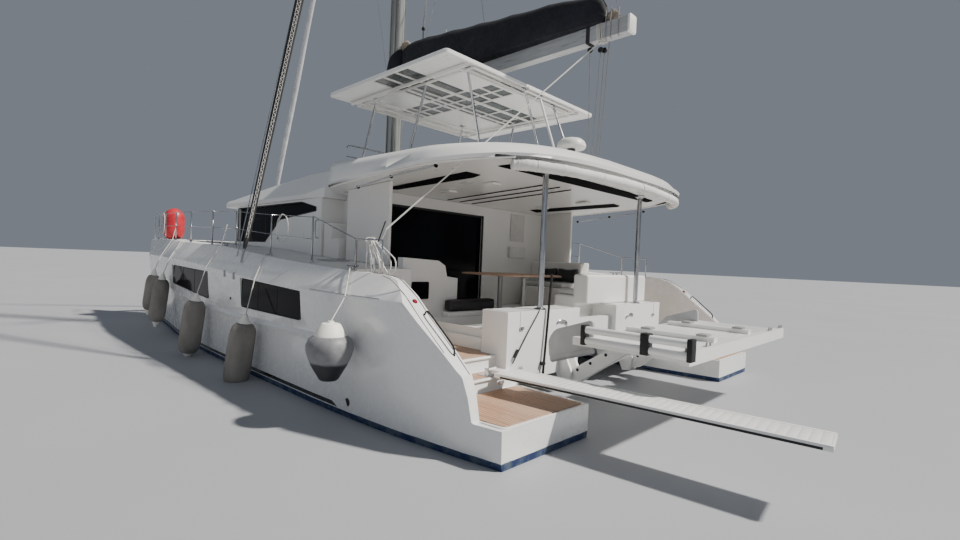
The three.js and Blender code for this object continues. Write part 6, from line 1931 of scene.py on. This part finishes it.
class CATAMARAN_OT_stage(bpy.types.Operator):
    """Sets the camera, the floor at the waterline and soft studio light"""

    bl_idname = "catamaran.stage"
    bl_label = "Camera, floor and light"

    def execute(self, context):
        scene = context.scene
        heading, pitch, roll = (math.radians(angle) for angle in CAMERA_ANGLES)
        ahead = Vector((
            math.cos(pitch) * math.cos(heading), math.cos(pitch) * math.sin(heading), math.sin(pitch)))
        sideways = ahead.cross(UP).normalized()
        above = sideways.cross(ahead)
        right = math.cos(roll) * sideways + math.sin(roll) * above
        up = math.cos(roll) * above - math.sin(roll) * sideways
        lens = bpy.data.cameras.new("Camera")
        lens.lens = CAMERA_LENS
        lens.sensor_width = 36
        lens.clip_end = 500
        camera = bpy.data.objects.new("Camera", lens)
        scene.collection.objects.link(camera)
        camera.matrix_world = Matrix.Translation(CAMERA_PLACE) @ Matrix(
            (right, up, -ahead)).transposed().to_4x4()
        scene.camera = camera

        floor = bmesh.new()
        bmesh.ops.create_grid(floor, x_segments=1, y_segments=1, size=250)
        mesh = bpy.data.meshes.new("floor")
        floor.to_mesh(mesh)
        floor.free()
        mesh.materials.append(finish_of("pale_floor"))
        ground = bpy.data.objects.new("floor", mesh)
        scene.collection.objects.link(ground)

        world = bpy.data.worlds.new("Studio")
        world.use_nodes = True
        sky = world.node_tree.nodes["Background"]
        sky.inputs["Color"].default_value = (0.78, 0.86, 1.0, 1)
        sky.inputs["Strength"].default_value = 0.24
        scene.world = world
        lamps = [
            # name, direction towards the lamp, strength, softness in degrees, colour
            ("Key", (-0.52, -0.4, 0.76), settings().key_light, 3, (1, 0.96, 0.9)),
            ("Fill", (-0.6, 0.75, 0.45), 0.18, 60, (0.93, 0.96, 1)),
        ]
        for name, towards, strength, softness, tint in lamps:
            sun = bpy.data.lights.new(name, "SUN")
            sun.energy = strength
            sun.angle = math.radians(softness)
            sun.color = tint
            lamp = bpy.data.objects.new(name, sun)
            lamp.rotation_euler = Vector(towards).to_track_quat("Z", "Y").to_euler()
            scene.collection.objects.link(lamp)
        return {"FINISHED"}


def size_setting(name, description, default):
    return bpy.props.FloatProperty(
        name=name, description=description, default=default, min=0.001, unit="LENGTH", precision=4)


def colour_setting(name, description, default):
    return bpy.props.FloatVectorProperty(
        name=name, description=description, default=default, size=3, min=0, max=1, subtype="COLOR")


class CatamaranSettings(bpy.types.PropertyGroup):
    """Sizes and colours that a user may change before the pieces are made"""

    gelcoat_tone: colour_setting(
        "Gelcoat", "Colour of the white gelcoat where it is cleanest", (0.87, 0.87, 0.85))
    antifouling_tone: colour_setting(
        "Antifouling", "Colour of the paint below the waterline", (0.01, 0.028, 0.1))
    stripe_tone: colour_setting(
        "Stripe", "Colour of the stripe above the waterline", (0.012, 0.012, 0.014))
    teak_tone: colour_setting("Teak", "Colour of the palest teak planks", (0.56, 0.35, 0.225))
    # The cover's palest tone, in a change of tone that runs at random
    canvas_tone: colour_setting(
        "Sail cover", "Colour of the sail cover on its folds", (0.014, 0.016, 0.024))
    cushion_tone: colour_setting(
        "Cushions", "Colour of the grey cushions where they are palest", (0.55, 0.55, 0.53))
    buoy_tone: colour_setting("Buoy", "Colour of the buoy where it is palest", (0.62, 0.03, 0.045))
    plank_width: size_setting("Plank width", "Width of a teak plank with its caulking", 0.048)
    curtain_radius: size_setting("Curtain roll", "Radius of the rolled curtain", 0.08)
    handrail_radius: size_setting("Handrail", "Radius of the saloon's handrails", 0.012)
    mainsheet_radius: size_setting("Mainsheet", "Radius of the mainsheet's rope", 0.007)
    lanyard_radius: size_setting("Lanyards", "Radius of the fenders' lanyards", 0.0085)
    stanchion_base: size_setting("Stanchion base", "Radius of the stanchions' bases", 0.045)
    key_light: bpy.props.FloatProperty(
        name="Key light", description="Strength of the high sun from starboard and aft",
        default=6.2, min=0, unit="NONE")


def settings():
    return bpy.context.scene.catamaran


OPERATORS = [
    CATAMARAN_OT_stage,
    CATAMARAN_OT_hung_ropes,
    CATAMARAN_OT_shells,
    CATAMARAN_OT_hull_glass,
    CATAMARAN_OT_hull_trim,
    CATAMARAN_OT_stern_steps,
    CATAMARAN_OT_transom_gear,
    CATAMARAN_OT_hardtop_trim,
    CATAMARAN_OT_curtain,
    CATAMARAN_OT_sail_cover,
    CATAMARAN_OT_rolled_sails,
    CATAMARAN_OT_bimini,
    CATAMARAN_OT_pads,
    CATAMARAN_OT_cockpit,
    CATAMARAN_OT_saloon_trim,
    CATAMARAN_OT_flybridge_gear,
    CATAMARAN_OT_lift_gear,
    CATAMARAN_OT_gangway,
    CATAMARAN_OT_fenders,
    CATAMARAN_OT_nets,
    CATAMARAN_OT_running_rigging,
    CATAMARAN_OT_deck_gear,
]


class CATAMARAN_PT_panel(bpy.types.Panel):
    """Lists the pieces of the catamaran"""

    bl_idname = "CATAMARAN_PT_panel"
    bl_label = "Catamaran"
    bl_space_type = "VIEW_3D"
    bl_region_type = "UI"
    bl_category = "Catamaran"

    def draw(self, context):
        rows = settings()
        for name in rows.bl_rna.properties.keys():
            if name not in {"rna_type", "name"}:
                self.layout.prop(rows, name)
        for operator in OPERATORS:
            self.layout.operator(operator.bl_idname)


def register():
    for kind in (CatamaranSettings, *OPERATORS, CATAMARAN_PT_panel):
        bpy.utils.register_class(kind)
    bpy.types.Scene.catamaran = bpy.props.PointerProperty(type=CatamaranSettings)


def unregister():
    del bpy.types.Scene.catamaran
    for kind in (CATAMARAN_PT_panel, *reversed(OPERATORS), CatamaranSettings):
        bpy.utils.unregister_class(kind)


def main():
    register()
    for operator in OPERATORS:
        family, name = operator.bl_idname.split(".")
        getattr(getattr(bpy.ops, family), name)()


if __name__ == "__main__":
    main()
